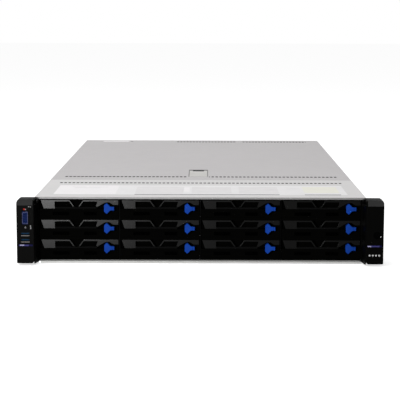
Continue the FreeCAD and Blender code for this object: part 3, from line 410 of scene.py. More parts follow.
MATS = {
    "front_cover": slotted("front_cover_steel", (0.60, 0.59, 0.588), FRONT_SLOTS, COVER_NOSE),
    "rear_cover": slotted("rear_cover_steel", (0.460, 0.443, 0.448), REAR_SLOTS),
    "chassis": zoned("zinc_sheet", ZINC, 0.36, 0.8, [(FRONT_EDGE_SHADE, (0.002, 0.002, 0.002), 0.0, 0.5),
                                                     (LIP_SHEEN, (0.37, 0.37, 0.36), 0.1, 0.5)], 0.02),
    "cage": zoned("cage_sheet", ZINC, 0.36, 0.8, [(CAGE_FRONT_SHADE, (0.001, 0.001, 0.001), 0.0, 0.45),
                                                  (CAGE_TOP_SHADE, (0.01, 0.01, 0.01), 0.0, 0.6)], 0.01, 0.5),
    "panel": sheet_metal("panel_sheet", ZINC, 0.36, 0.8),
    "riser": sheet_metal("riser_sheet", (0.60, 0.61, 0.61), 0.32),
    "supply": zoned("supply_sheet", (0.50, 0.51, 0.52), 0.36, 0.85, supply_zones()),
    "bright": sheet_metal("bright_steel", (0.66, 0.66, 0.65), 0.22, 1.0),
    "rear_port": zoned("socket_steel", (0.60, 0.60, 0.59), 0.28, 1.0, rear_port_zones()),
    "gold": sheet_metal("contact_gold", (0.75, 0.52, 0.18), 0.3, 1.0),
    "ear": zoned("ear_plastic", (0.0012, 0.0012, 0.0011), 0.40, 0.0,
                 [(slope, (0.020, 0.020, 0.020), 0.0, 0.5) for slope in LIT_EAR_SLOPES], 0.007),
    "lever": zoned("lever_plastic", (0.0010, 0.00095, 0.0009), 0.255, 0.0, LEVER_SHADE, 0.088),
    "latch": plastic("latch_plastic", BLUE, 0.4, 0.006),
    "button": plastic("button_plastic", (0.0008, 0.0008, 0.0008), 0.35, 0.0),
    "fan": plastic("fan_plastic", (0.018, 0.018, 0.018), 0.45, 0.4),
    "duct": plastic("duct_plastic", (0.02, 0.02, 0.02), 0.4, 0.4),
    "knob": plastic("knob_plastic", (0.0008, 0.0008, 0.0008), 0.3, 0.02),
    "ear_fitting": zoned("ear_fittings", (0.0016, 0.0072, 0.045), 0.35, 0.0, ear_fitting_zones(), 0.01),
    "socket_blue": plastic("socket_blue", (0.020, 0.050, 0.36), 0.4, 0.3),
    "socket_black": plastic("socket_black", (0.006, 0.006, 0.006), 0.4, 0.3),
    "rim": plastic("socket_rim", (0.020, 0.024, 0.080), 0.3, 0.06),
    # Painted light: pale grey for the lit lower face inside each serial socket
    "strip": plastic("lit_shell_strip", (0.11, 0.10, 0.095), 0.35, 0.05),
    "clear_guide": plastic("clear_guide", (0.0004, 0.0004, 0.0004), 0.4, 0.0),
    # Grey for printed marks, and for painted glints on the left ear's screw and red light
    "mark": plastic("white_print_and_glint", (0.15, 0.15, 0.15), 0.4, 0.05),
    "sink": sheet_metal("heatsink_metal", (0.62, 0.62, 0.62), 0.3, 0.95),
    "board": zoned("circuit_board", (0.012, 0.09, 0.03), 0.38, 0.0, circuit_zones()),
    "memory": board("memory_board", (0.010, 0.07, 0.03)),
    "chip": plastic("chip_black", (0.012, 0.012, 0.013), 0.35, 0.4),
    "latch_plate": zoned("latch_plate", (0.51, 0.50, 0.48), 0.5, 0.1,
                         [(LATCH_GAP_SHADE, (0.04, 0.04, 0.04), 0.0, 0.6)]),
    "film": plastic("clear_film", (0.74, 0.73, 0.735), 0.4, 0.3, depth=LABEL_DEPTH, vary=0.03),
    "label": plastic("blank_label", (0.82, 0.80, 0.81), 0.45, 0.4, depth=LABEL_DEPTH, vary=0.02),
    "label_warm": plastic("blank_label_warm", (0.76, 0.75, 0.66), 0.45, 0.4, depth=LABEL_DEPTH, vary=0.03),
    # Grey for blank labels, and for the painted glints at the power button
    "grey_label_and_glint": plastic("blank_label_grey", (0.70, 0.685, 0.69), 0.5, 0.3, depth=LABEL_DEPTH, vary=0.04),
    "label_edge": plastic("label_edge", (0.16, 0.155, 0.17), 0.5, 0.4, depth=LABEL_DEPTH, vary=0.05),
    # Near black, mostly painted shade inside holes, vents and sockets and behind grilles; also the grille
    # bars and a dot on the rear label
    "hole": plastic("dark_inside", (0.0004, 0.0004, 0.0004), 0.8, 0.0),
    "tray": zoned("carrier_and_drive", (0.42, 0.43, 0.44), 0.42, 0.75,
                  [(BEZEL_FACES, BLACK, 0.0, 0.6)], 0.0, 0.06),
}


def paint(node_name, key):
    for slot in nodes[node_name].material_slots:
        slot.material = MATS[key]


WELD_REACH, SHARP_ANGLE = 0.00001, math.radians(35.0)
EAR_ROUNDING, LEVER_ROUNDING, LATCH_ROUNDING = 0.6, 0.4, 0.5


def soften(node_name, width):
    """Rounds the sharp edges of a node by a fraction of a millimetre."""
    target = nodes[node_name]
    weld = target.modifiers.new("weld", "WELD")
    weld.merge_threshold = WELD_REACH
    bevel = target.modifiers.new("soft_edges", "BEVEL")
    bevel.width = width / MM
    bevel.segments = 2
    bevel.limit_method = "ANGLE"
    bevel.angle_limit = SHARP_ANGLE
    bevel.use_clamp_overlap = True


NODE_PAINT = {
    "chassis_base": "chassis", "rear_panel": "panel", "supply_bay": "panel", "drive_cage": "cage",
    "front_top_cover": "front_cover", "rear_top_cover": "rear_cover", "cover_latch": "latch_plate",
    "left_ear": "ear", "right_ear": "ear", "power_button": "button", "ear_fittings": "ear_fitting",
    "rear_ports": "rear_port", "circuit_boards": "board", "heatsinks": "sink", "memory_modules": "memory",
    "air_duct": "duct", "riser_cages": "riser", "fan_housings": "fan", "power_supply_lower": "supply",
    "power_supply_upper": "supply",
}
for number in range(1, 5):
    NODE_PAINT["fan_rotor_%d" % number] = "fan"
for _, _, bay in BAYS:
    NODE_PAINT["carrier_tray_" + bay] = "tray"
    NODE_PAINT["carrier_lever_" + bay] = "lever"
    NODE_PAINT["carrier_latch_" + bay] = "latch"
    soften("carrier_lever_" + bay, LEVER_ROUNDING)
    soften("carrier_latch_" + bay, LATCH_ROUNDING)
for node_name, key in NODE_PAINT.items():
    paint(node_name, key)
soften("left_ear", EAR_ROUNDING)
soften("right_ear", EAR_ROUNDING)


# Small fittings, built in mesh code

AXES = {"x": (1, 2, 0), "y": (0, 2, 1), "z": (0, 1, 2)}
# Screw heads: sides, and shares of the height and the radius
HEAD_SIDES, HEAD_BASE, HEAD_CROWN, HEAD_SOCKET = 20, 0.55, 0.92, 0.42
# Video sockets: taper of the outline, pins in a row, their pitch, shift from a row to the next, and the rows
DEE_TAPER = 1.2
PINS, PIN_PITCH, PIN_SHIFT, PIN_ROWS = 5, 2.3, 0.35, (-1, 0, 1)


class Fitting:
    """Closed solids of one or more finishes, gathered in one piece that rides on a body."""

    def __init__(self, name, *keys):
        self.name = name
        self.keys = list(keys)
        self.mesh = bmesh.new()

    def loop(self, outline, axis, level):
        """Vertices of an outline of millimetre points, at a level along an axis."""
        first, second, along = AXES[axis]
        made = []
        for a, b in outline:
            point = [0.0, 0.0, 0.0]
            point[first], point[second], point[along] = a, b, level
            made.append(self.mesh.verts.new(place(*point)))
        return made

    def prism(self, outline, axis, start, end, key, bevel=0.0):
        """Outline pushed along an axis; the bevel rounds the edges of both ends."""
        near, far = self.loop(outline, axis, start), self.loop(outline, axis, end)
        count = len(outline)
        faces = [self.mesh.faces.new(near), self.mesh.faces.new(far[::-1])]
        for index in range(count):
            after = (index + 1) % count
            faces.append(self.mesh.faces.new((near[after], near[index], far[index], far[after])))
        for face in faces:
            face.material_index = self.keys.index(key)
        if bevel:
            edges = list(faces[0].edges) + list(faces[1].edges)
            bmesh.ops.bevel(self.mesh, geom=edges, offset=bevel / MM, segments=2, affect="EDGES",
                            profile=0.5, clamp_overlap=True, material=self.keys.index(key))

    def block(self, x0, x1, y0, y1, z0, z1, key, bevel=0.0):
        self.prism([(x0, z0), (x1, z0), (x1, z1), (x0, z1)], "y", y0, y1, key, bevel)

    def disc(self, first, second, radius, axis, start, end, key, sides=24, bevel=0.0):
        self.prism(circle(first, second, radius, sides), axis, start, end, key, bevel)

    def ring(self, first, second, outer, inner, axis, start, end, key, sides=32):
        """Flat ring with a square section."""
        outside, inside = circle(first, second, outer, sides), circle(first, second, inner, sides)
        self.band(outside, inside, axis, start, end, key)

    def band(self, outside, inside, axis, start, end, key):
        """Closed band between two outlines that have the same number of points."""
        corners = ((outside, start), (outside, end), (inside, end), (inside, start))
        loops = [self.loop(outline, axis, level) for outline, level in corners]
        count = len(outside)
        for number in range(4):
            here, there = loops[number], loops[(number + 1) % 4]
            for index in range(count):
                after = (index + 1) % count
                face = self.mesh.faces.new((here[index], here[after], there[after], there[index]))
                face.material_index = self.keys.index(key)

    def screw(self, first, second, radius, axis, seat, proud):
        """Bright pan head with a recessed driver socket, seated on a face and standing proud of it."""
        middle = seat + proud * HEAD_BASE
        rim, crown, socket = (circle(first, second, radius * share, HEAD_SIDES)
                              for share in (1.0, HEAD_CROWN, HEAD_SOCKET))
        self.prism(rim, axis, seat, middle, "bright")
        self.band(crown, socket, axis, middle, seat + proud, "bright")

    def finish(self, body, offset=(0.0, 0.0, 0.0)):
        bmesh.ops.recalc_face_normals(self.mesh, faces=self.mesh.faces[:])
        data = bpy.data.meshes.new(self.name)
        self.mesh.to_mesh(data)
        self.mesh.free()
        for key in self.keys:
            data.materials.append(MATS[key])
        return dressed(self.name, data, body, offset)


def dressed(name, data, body, offset=(0.0, 0.0, 0.0)):
    """Object of a mesh, moved by an offset in millimetres and carried by a body."""
    made = bpy.data.objects.new(name, data)
    bpy.context.scene.collection.objects.link(made)
    made.location = Vector(offset) / MM
    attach(made, body)
    return made


def circle(first, second, radius, sides):
    turns = [2 * math.pi * index / sides for index in range(sides)]
    return [(first + radius * math.cos(turn), second + radius * math.sin(turn)) for turn in turns]


def spaced(middle, count, pitch):
    """Centres of a row of like pieces, evenly spaced about its middle."""
    return [middle + (number - (count - 1) / 2) * pitch for number in range(count)]


def rounded(x0, x1, z0, z1, radius, steps=4):
    """Outline of a rectangle with round corners."""
    points = []
    for cx, cz, start in ((x1 - radius, z1 - radius, 0), (x0 + radius, z1 - radius, 90),
                          (x0 + radius, z0 + radius, 180), (x1 - radius, z0 + radius, 270)):
        for step in range(steps + 1):
            turn = math.radians(start + 90.0 * step / steps)
            points.append((cx + radius * math.cos(turn), cz + radius * math.sin(turn)))
    return points


def dee(x, z, half_wide, half_high, radius, upright, steps=4):
    """Tapered outline of a video socket, rounded at its corners."""
    narrow = half_high - DEE_TAPER
    corners = [(half_wide, half_high), (-half_wide, narrow), (-half_wide, -narrow), (half_wide, -half_high)]
    if not upright:
        corners = [(half_high, half_wide), (-half_high, half_wide), (-narrow, -half_wide),
                   (narrow, -half_wide)]
    points = []
    for index, corner in enumerate(corners):
        here = Vector(corner)
        before = (Vector(corners[index - 1]) - here).normalized() * radius
        after = (Vector(corners[(index + 1) % 4]) - here).normalized() * radius
        for step in range(steps + 1):
            t = step / steps
            point = here + before * (1 - t) ** 2 + after * t ** 2
            points.append((x + point.x, z + point.y))
    return points


def left_ear_fittings():
    """Rim and pin holes of the video socket, its screw with a painted glint, contacts and painted lit strips
    of the serial sockets, printed marks and a painted glint on the red light.
    """
    made = Fitting("left_ear_details", "rim", "hole", "mark", "knob", "strip")
    x, front, screw_z = -EAR_CENTRE, EAR_FRONT, 50.4
    outside, inside = dee(x, VGA_Z, 3.7, 8.4, 1.6, True), dee(x, VGA_Z, 3.15, 7.8, 1.4, True)
    made.band(outside, inside, "y", front - 0.3, front + 0.9, "rim")
    row_gap, hole_radius = 1.55, 0.5
    for row in PIN_ROWS:
        for z in spaced(VGA_Z, PINS, PIN_PITCH):
            made.disc(x + row * row_gap, z + row * PIN_SHIFT, hole_radius, "y", front - 0.12, front + 0.3,
                      "hole", 12)
    made.disc(x + 0.5, screw_z, 1.7, "y", front - 0.4, front + 0.3, "knob", 6)
    # Painted highlight: a grey ring on the screw stands in for its glint
    made.ring(x + 0.5, screw_z, 1.0, 0.5, "y", front - 0.5, front - 0.4, "mark", 20)
    contacts, contact_pitch, contact_half, strip_half = 4, 2.4, 0.5, 5.6
    for z in USB_Z:
        for contact in spaced(x, contacts, contact_pitch):
            made.block(contact - contact_half, contact + contact_half, front + 1.3, front + 7.0,
                       z - 0.05, z + 0.18, "hole", 0.03)
        # Painted light: a pale strip for the lit lower face inside the socket
        made.block(x - strip_half, x + strip_half, front - 0.1, front + 5.0, z - 2.2, z - 1.3, "strip", 0.1)
    # Marks: shift from the middle of the ear, height of the middle, half their height
    marks = ((5.2, 77.8, 0.6), (7.3, 77.6, 0.5), (7.2, 52.0, 1.1), (7.4, 49.3, 1.2))
    mark_half, mark_round = 0.75, 0.35
    for shift, z, half in marks:
        outline = rounded(x + shift - mark_half, x + shift + mark_half, z - half, z + half, mark_round)
        made.prism(outline, "y", front - 0.1, front + 0.1, "mark")
    # Painted highlight: a grey disc on the red light stands in for its glint
    made.disc(x + 0.9, RED_Z - 0.2, 0.75, "y", front - 0.45, front + 0.2, "mark", 12)
    made.finish("chassis")


def right_ear_fittings():
    """Collar round the power button and two painted glints on it."""
    made = Fitting("right_ear_details", "knob", "grey_label_and_glint")
    made.ring(BUTTON_X, BUTTON_Z, 5.9, 5.0, "y", EAR_FRONT - 0.25, EAR_FRONT + 0.2, "knob", 48)
    # Painted highlights: two pale discs stand in for glints on the collar
    for x, z, radius in ((237.2, 39.4, 0.4), (236.8, 38.5, 0.25)):
        made.disc(x, z, radius, "y", EAR_FRONT - 0.48, EAR_FRONT - 0.3, "grey_label_and_glint", 10)
    made.finish("chassis")


def ear_screws():
    """Captive knob at the inner top corner of each ear and the screws of the side plates."""
    made = Fitting("ear_screws", "knob", "bright")
    knob_x, knob_z, ridges, ridge, groove = 217.6, 83.3, 36, 2.7, 2.45
    cap_front, knob_front, knob_back, cap_radius = -9.4, -8.6, -2.0, 2.3
    for side in SIDES:
        x = side * knob_x
        ridged = []
        for index in range(ridges):
            radius = ridge if index % 2 else groove
            turn = 2 * math.pi * index / ridges
            ridged.append((x + radius * math.cos(turn), knob_z + radius * math.sin(turn)))
        made.prism(ridged, "y", knob_front, knob_back, "knob")
        made.disc(x, knob_z, cap_radius, "y", cap_front, knob_front, "knob", 24, 0.3)
        for y in (14.0, 34.0):
            for height in (22.0, 58.0):
                made.screw(y, height, 2.6, "x", side * BODY_HALF, side * 0.9)
    made.finish("chassis")


def ear_cheeks():
    """Slanted web on the inner side of each ear, back to its flange."""
    made = Fitting("ear_cheeks", "knob")
    for side in SIDES:
        plan = [(side * 219.0, -24.0), (side * 217.4, -22.0), (side * 214.9, -7.0), (side * 214.9, -2.0),
                (side * 219.0, -2.0)]
        made.prism(plan, "z", 1.2, 80.2, "knob", 0.4)
    made.finish("chassis")


def latch_surround():
    """Dark band round the cover latch, painted shade of the seam round its plate."""
    made = Fitting("latch_surround", "socket_black")
    outside, inside = rounded(-18.6, 10.6, 222.4, 309.8, 1.0), rounded(-17.8, 9.8, 223.2, 308.2, 0.6)
    made.band(outside, inside, "z", TOP - 0.6, TOP + 0.05, "socket_black")
    made.finish("rear_cover")


def cover_side_screws():
    """Flat screws along the side flanges of the fixed cover, rivets and rail studs of the side walls."""
    made = Fitting("side_screws", "bright")
    screw_ys, screw_z = (24.0, 92.0, 160.0), 79.5
    rivet_ys, rivet_zs, rivet_radius, rivet_proud = range(70, 760, 46), (7.0, 66.0), 1.9, 0.45
    stud_ys, stud_z, stud_foot, stud_stem, stud_head = (60.0, 330.0, 620.0), 43.5, 4.6, 3.05, 4.2
    for side in SIDES:
        wall = side * WALL_OUT
        for y in screw_ys:
            made.screw(y, screw_z, 2.8, "x", side * BODY_HALF, side * 0.5)
        for y in rivet_ys:
            for z in rivet_zs:
                made.disc(y, z, rivet_radius, "x", wall, side * (WALL_OUT + rivet_proud), "bright", 20, 0.25)
        for y in stud_ys:
            made.ring(y, stud_z, stud_foot, stud_stem, "x", wall, side * (WALL_OUT + 0.8), "bright", 32)
            made.disc(y, stud_z, stud_head, "x", side * (WALL_OUT + 4.0), side * (WALL_OUT + 5.0), "bright",
                      28, 0.3)
    made.finish("chassis")


def cover_stickers():
    """Blank film and blank labels on the fixed cover, where the photographed ones are."""
    film_top, label_top, edge_top, bar_top = TOP + 0.05, TOP + 0.09, TOP + 0.1, TOP + 0.11
    made = Fitting("front_cover_film", "film", "label", "label_warm", "grey_label_and_glint", "label_edge")
    made.prism(rounded(-199.0, 199.0, 26.0, 121.0, 3.0), "z", TOP, film_top, "film")
    labels = [((-198.0, -115.0, 29.0, 118.0), 2.0, "label"),
              ((-89.0, -23.5, 40.0, 106.0), 1.5, "grey_label_and_glint"),
              ((-12.0, 42.5, 40.0, 106.0), 1.5, "grey_label_and_glint"),
              ((53.0, 107.0, 40.0, 106.0), 1.5, "grey_label_and_glint"),
              ((-22.5, -15.0, 56.0, 100.0), 1.0, "label"),
              ((142.0, 190.0, 46.0, 108.0), 1.5, "label_warm")]
    for limits, radius, key in labels:
        made.prism(rounded(*limits, radius), "z", TOP, label_top, key)
    for x0, x1 in ((-89.0, 107.0), (141.0, 190.0)):
        made.prism(rounded(x0, x1, 25.5, 30.5, 0.8), "z", TOP, edge_top, "label_edge")
    bars = ((-180.0, -160.0, 100.0), (-157.0, -130.0, 100.0), (-176.0, -140.0, 90.0), (120.0, 138.0, 86.0),
            (60.0, 96.0, 90.0))
    for x0, x1, y in bars:
        made.prism(rounded(x0, x1, y, y + 4.0, 0.8), "z", TOP, bar_top, "grey_label_and_glint")
    made.finish("chassis")
    rear = Fitting("rear_cover_labels", "label", "hole")
    rear.prism(rounded(-187.0, -138.0, 755.0, 771.0, 1.5), "z", TOP, TOP + 0.08, "label")
    rear.disc(-133.0, 762.0, 2.2, "z", TOP, TOP + 0.06, "hole", 20)
    rear.finish("rear_cover")


def carrier_details():
    """Grille with a painted-shade sheet behind it, light guides, rail screws, drive screws and blank drive
    label, made once for all bays.
    """
    made = Fitting("carrier_details", "hole", "clear_guide", "bright", "grey_label_and_glint", "chip")
    vent_drop, vent_height, hole_pitch, hole_half = 15.8, 4.6, 3.0, 0.35
    vent_top = BEZEL_GAP + BEZEL_HEIGHT - vent_drop
    vent_low = vent_top - vent_height
    for first, last in VENTS:
        steps = int((last - first) / hole_pitch)
        for step in range(1, steps):
            x = first + step * (last - first) / steps
            made.block(x - hole_half, x + hole_half, 2.2, 3.4, vent_low, vent_top, "hole", 0.05)
        # Painted shade: a near-black sheet behind the vents
        made.block(first, last, 6.0, 6.8, vent_low, vent_top, "hole", 0.05)
    guide_half = 1.4
    for x in (29.6, 67.3):
        guide = rounded(x - guide_half, x + guide_half, vent_top - 3.4, vent_top - 1.9, 0.5)
        made.prism(guide, "y", 1.4, 2.4, "clear_guide")
    x0, x1 = DRIVE_SIDE, DRIVE_SIDE + DRIVE_WIDTH
    middle = (x0 + x1) / 2
    z0 = (ROW_PITCH - DRIVE_HEIGHT) / 2
    rail, rail_screw_z, rail_screw_radius = 1.0, 10.0, 2.4
    for y in (46.0, 90.0, 148.0):
        made.screw(y, rail_screw_z, rail_screw_radius, "x", x0 - rail, -0.5)
        made.screw(y, rail_screw_z, rail_screw_radius, "x", x1 + rail, 0.5)
    lid = z0 + DRIVE_HEIGHT
    head_top, label_top, lid_inset, label_inset = lid + 0.12, lid + 0.1, 6.0, 12.0
    for x in (x0 + lid_inset, middle, x1 - lid_inset):
        for y in (BEZEL_DEPTH + 6.5, 148.5):
            made.disc(x, y, 2.0, "z", lid, head_top, "bright", 20)
            made.ring(x, y, 1.5, 0.7, "z", head_top, lid + 0.2, "bright", 20)
    label = rounded(x0 + label_inset, x1 - label_inset, 34.0, 118.0, 2.0)
    made.prism(label, "z", lid, label_top, "grey_label_and_glint")
    made.disc(middle, 82.0, 16.0, "z", label_top, lid + 0.14, "grey_label_and_glint", 48)
    made.block(x0 + 30.0, x0 + 58.0, DRIVE_END - 0.1, DRIVE_END + 0.25, z0 + 9.0, z0 + 13.0, "chip", 0.1)
    first_bay = made.finish("carrier_1a", (bay_x(0), 0.0, BAY_FLOOR))
    first_bay.name = "carrier_details_1a"
    for column, row, bay in BAYS[1:]:
        offset = (bay_x(column), 0.0, BAY_FLOOR + row * ROW_PITCH)
        dressed("carrier_details_" + bay, first_bay.data, "carrier_" + bay, offset)


def rear_details():
    """Screws and vent holes of the slot covers, socket contacts, lights and pins at the rear."""
    made = Fitting("rear_details", "bright", "hole", "gold", "clear_guide")
    back = DEPTH
    slots, vents, first_vent, vent_pitch, vent_radius = 3, 16, 14.0, 6.0, 1.7
    vent_rows = ((-2.6, 0.0), (2.6, vent_pitch / 2))
    for left in SLOT_LEFTS:
        for slot in range(slots):
            middle = SLOT_FLOOR + slot * SLOT_PITCH + SLOT_PITCH / 2 - 0.3
            for number in range(vents):
                for rise, shift in vent_rows:
                    x = left + first_vent + number * vent_pitch + shift
                    # Painted shade: dark discs stand in for the vent holes
                    made.disc(x, middle + rise, vent_radius, "y", back - 1.19, back - 1.14, "hole", 6)
    for x in (-214.0, -82.0, 125.0):
        for z in (18.0, 80.0):
            made.screw(x, z, 2.6, "y", back, 0.9)
    contacts, contact_pitch, contact_half, light_pitch, light_half = 8, 1.1, 0.25, 10.0, 1.2
    contact_low, contact_top = BOARD_TOP + 9.2, BOARD_TOP + 9.75
    light_low, light_top = BOARD_TOP + 11.0, BOARD_TOP + 12.6
    for socket_x in RJ45_XS:
        for x in spaced(socket_x, contacts, contact_pitch):
            made.block(x - contact_half, x + contact_half, back - 12.0, back - 4.0, contact_low, contact_top,
                       "gold", 0.05)
        for x in spaced(socket_x, 2, light_pitch):
            made.block(x - light_half, x + light_half, back + 0.45, back + 0.6, light_low, light_top,
                       "clear_guide", 0.05)
    video_z = BOARD_TOP + 4.0
    outside = dee(VGA_REAR_X, video_z, 3.6, 8.2, 1.4, False)
    inside = dee(VGA_REAR_X, video_z, 2.7, 7.3, 1.1, False)
    made.band(outside, inside, "y", back - 0.4, back + 0.8, "bright")
    row_gap, pin_radius, nut_shift, nut_radius = 1.5, 0.45, 12.2, 2.2
    for row in PIN_ROWS:
        for x in spaced(VGA_REAR_X, PINS, PIN_PITCH):
            made.disc(x + row * PIN_SHIFT, video_z + row * row_gap, pin_radius, "y", back + 0.4, back + 0.56,
                      "hole", 12)
    for side in SIDES:
        made.disc(VGA_REAR_X + side * nut_shift, video_z, nut_radius, "y", back - 1.0, back + 2.4,
                  "bright", 6, 0.2)
    made.finish("chassis")


def supply_details(name, bottom):
    """Inlet pins, inlet collar, face screws, light and blank rating plate of one supply."""
    made = Fitting("supply_details_" + name, "bright", "socket_black", "clear_guide", "grey_label_and_glint",
                   "hole", "gold")
    face, top, edge = PSU_BACK, bottom + PSU_HEIGHT, PSU_BACK - PSU_LENGTH
    middle, half, collar = bottom + PSU_HEIGHT / 2, INLET_HEIGHT / 2, 1.6
    inlet_end, inlet_middle, light_x = INLET_X + INLET_WIDTH, INLET_X + INLET_WIDTH / 2, PSU_X0 + 34.0
    inside = rounded(INLET_X, inlet_end, middle - half, middle + half, 2.0)
    outside = rounded(INLET_X - collar, inlet_end + 1.0, middle - half - collar, middle + half + collar, 2.4)
    made.band(outside, inside, "y", face, face + 0.8, "socket_black")
    pin_half, pin_half_high = 1.0, 2.0
    for shift, rise in ((-7.0, -1.5), (0.0, 2.5), (7.0, -1.5)):
        x, z = inlet_middle + shift, middle + rise
        made.block(x - pin_half, x + pin_half, face - 15.9, face - 3.0, z - pin_half_high, z + pin_half_high,
                   "bright", 0.3)
    for rise in (-16.5, 16.5):
        for x in (INLET_X + 4.0, light_x):
            made.screw(x, middle + rise, 2.0, "y", face, 0.7)
    made.disc(light_x, middle, 1.5, "y", face, face + 0.5, "clear_guide", 20, 0.15)
    slots, first_slot, slot_pitch = 5, 5.0, 6.2
    for slot in range(slots):
        z = bottom + first_slot + slot * slot_pitch
        # Painted shade: near-black plates behind the vent slots
        made.block(PSU_X0 + 3.2, PSU_X0 + 27.8, face - 2.95, face - 2.85, z + 0.2, z + 3.4, "hole")
    made.prism(rounded(PSU_X0 + 14.0, PSU_X0 + 60.0, 640.0, 740.0, 2.0), "z", top, top + 0.1, "grey_label_and_glint")
    contacts, first_contact, contact_pitch, contact_half = 20, 14.5, 2.35, 0.7
    for number in range(contacts):
        x = PSU_X0 + first_contact + number * contact_pitch
        made.block(x - contact_half, x + contact_half, edge - 4.7, edge - 0.5, bottom + 17.6, bottom + 17.68,
                   "gold")
    made.finish("power_supply_" + name)


def inside_details():
    """Chips, round parts and connectors on the motherboard."""
    made = Fitting("board_parts", "chip", "bright", "socket_blue")
    tries, board_x, bands = 70, (-195.0, 115.0), ((505.0, 532.0), (582.0, 590.0), (292.0, 330.0))
    chip_free_x, chip_free_y = 26.0, 528.0
    for number in range(tries):
        x = random.uniform(*board_x)
        y = random.choice([random.uniform(*band) for band in bands])
        half = random.uniform(2.0, 6.5)
        if abs(x) < chip_free_x and y > chip_free_y:
            continue
        if number % 3:
            made.block(x - half, x + half, y - half * 0.7, y + half * 0.7, BOARD_TOP, BOARD_TOP + 1.4,
                       "chip", 0.15)
        else:
            made.disc(x, y, 3.0, "z", BOARD_TOP, BOARD_TOP + 7.5, "bright", 20, 0.4)
    plugs, first_plug, plug_pitch, plug_width = 8, -180.0, 34.0, 26.0
    for number in range(plugs):
        x = first_plug + number * plug_pitch
        key = "socket_blue" if number % 2 else "chip"
        made.block(x, x + plug_width, 297.0, 303.0, BOARD_TOP, BOARD_TOP + 8.0, key, 0.3)
    made.finish("chassis")


left_ear_fittings()
right_ear_fittings()
ear_screws()
ear_cheeks()
latch_surround()
cover_side_screws()
cover_stickers()
carrier_details()
rear_details()
for supply_name, supply_floor in zip(("lower", "upper"), PSU_FLOORS):
    supply_details(supply_name, supply_floor)
inside_details()


# Studio

CAMERA_PLACE = (0.00674, -2.13133, 0.33139)
CAMERA_LENS, CAMERA_PITCH, CAMERA_YAW, CAMERA_ROLL = 118.88, 8.112, 0.234, 0.143
SENSOR_WIDTH, CLIP_START, CLIP_END = 36.0, 0.05, 60.0
FLOOR_SIZE, FLOOR_DROP, FLOOR_TONE, FLOOR_GLOW = 12.0, 0.0006, 0.75, 0.64
WORLD_LEVEL, BACKDROP_LEVEL = 0.44, 1.0
# Lights: name, place, point they face, size, all in metres, and power in watts
LIGHTS = (("overhead", (-0.7, -0.5, 1.85), (0.0, 0.0, 0.0), (2.2, 1.6), 27.0),
          ("left_low", (-0.38, -1.65, 0.04), (0.05, -0.395, 0.04), (0.14, 0.06), 15.5))


def seen_rays(tree, with_gloss):
    """1 for rays that see the background itself: camera, transmission and, if asked, glossy ones."""
    path = tree.nodes.new("ShaderNodeLightPath")
    names = ["Is Camera Ray", "Is Transmission Ray"] + (["Is Glossy Ray"] if with_gloss else [])
    result = path.outputs[names[0]]
    for name in names[1:]:
        either = tree.nodes.new("ShaderNodeMath")
        either.operation = "MAXIMUM"
        tree.links.new(result, either.inputs[0])
        tree.links.new(path.outputs[name], either.inputs[1])
        result = either.outputs[0]
    return result


def floor():
    size, drop = FLOOR_SIZE, -FLOOR_DROP
    data = bpy.data.meshes.new("studio_floor")
    corners = [(-size, -size, drop), (size, -size, drop), (size, size, drop), (-size, size, drop)]
    data.from_pydata(corners, [], [(0, 1, 2, 3)])
    made = bpy.data.objects.new("studio_floor", data)
    bpy.context.scene.collection.objects.link(made)
    made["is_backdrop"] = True
    material = bpy.data.materials.new("studio_white")
    material.use_nodes = True
    tree = material.node_tree
    tree.nodes.clear()
    out = tree.nodes.new("ShaderNodeOutputMaterial")
    diffuse = tree.nodes.new("ShaderNodeBsdfDiffuse")
    diffuse.inputs["Color"].default_value = (FLOOR_TONE, FLOOR_TONE, FLOOR_TONE, 1.0)
    glow = tree.nodes.new("ShaderNodeEmission")
    level = tree.nodes.new("ShaderNodeMath")
    level.operation = "MULTIPLY"
    level.inputs[1].default_value = FLOOR_GLOW
    tree.links.new(seen_rays(tree, False), level.inputs[0])
    tree.links.new(level.outputs[0], glow.inputs["Strength"])
    both = tree.nodes.new("ShaderNodeAddShader")
    tree.links.new(diffuse.outputs[0], both.inputs[0])
    tree.links.new(glow.outputs[0], both.inputs[1])
    tree.links.new(both.outputs[0], out.inputs["Surface"])
    data.materials.append(material)


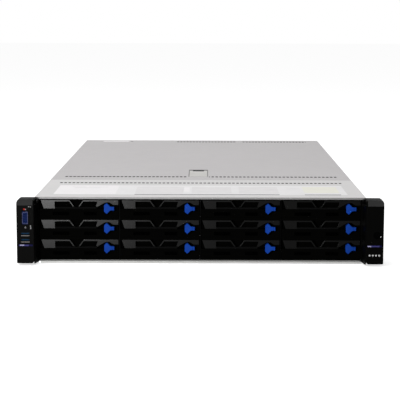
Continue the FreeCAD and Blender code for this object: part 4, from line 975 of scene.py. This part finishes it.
def world():
    made = bpy.context.scene.world or bpy.data.worlds.new("studio")
    bpy.context.scene.world = made
    made.use_nodes = True
    tree = made.node_tree
    tree.nodes.clear()
    out = tree.nodes.new("ShaderNodeOutputWorld")
    background = tree.nodes.new("ShaderNodeBackground")
    background.inputs["Color"].default_value = (1.0, 1.0, 1.0, 1.0)
    strength = tree.nodes.new("ShaderNodeMapRange")
    strength.inputs["To Min"].default_value = WORLD_LEVEL
    strength.inputs["To Max"].default_value = BACKDROP_LEVEL
    tree.links.new(seen_rays(tree, True), strength.inputs["Value"])
    tree.links.new(strength.outputs["Result"], background.inputs["Strength"])
    tree.links.new(background.outputs[0], out.inputs["Surface"])


def area_light(name, position, target, size, power):
    data = bpy.data.lights.new(name, "AREA")
    data.shape = "RECTANGLE"
    data.size, data.size_y = size
    data.energy = power
    lamp = bpy.data.objects.new(name, data)
    bpy.context.scene.collection.objects.link(lamp)
    lamp.location = position
    lamp.rotation_mode = "QUATERNION"
    lamp.rotation_quaternion = (Vector(target) - Vector(position)).to_track_quat("-Z", "Y")


def camera():
    """Camera at the photograph's place, fitted to the edges of the ears and the top cover."""
    data = bpy.data.cameras.new("photo_camera")
    data.sensor_width = SENSOR_WIDTH
    data.lens = CAMERA_LENS
    data.clip_start = CLIP_START
    data.clip_end = CLIP_END
    made = bpy.data.objects.new("photo_camera", data)
    bpy.context.scene.collection.objects.link(made)
    pitch, yaw, roll = (math.radians(angle) for angle in (CAMERA_PITCH, CAMERA_YAW, CAMERA_ROLL))
    forward = Vector((-math.sin(yaw) * math.cos(pitch), math.cos(yaw) * math.cos(pitch), -math.sin(pitch)))
    made.location = CAMERA_PLACE
    made.rotation_mode = "QUATERNION"
    aim = forward.to_track_quat("-Z", "Y")
    made.rotation_quaternion = aim @ Matrix.Rotation(roll, 3, "Z").to_quaternion()
    bpy.context.scene.camera = made


floor()
world()
camera()
for light in LIGHTS:
    area_light(*light)
bpy.context.scene.view_settings.view_transform = "Standard"

low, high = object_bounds()
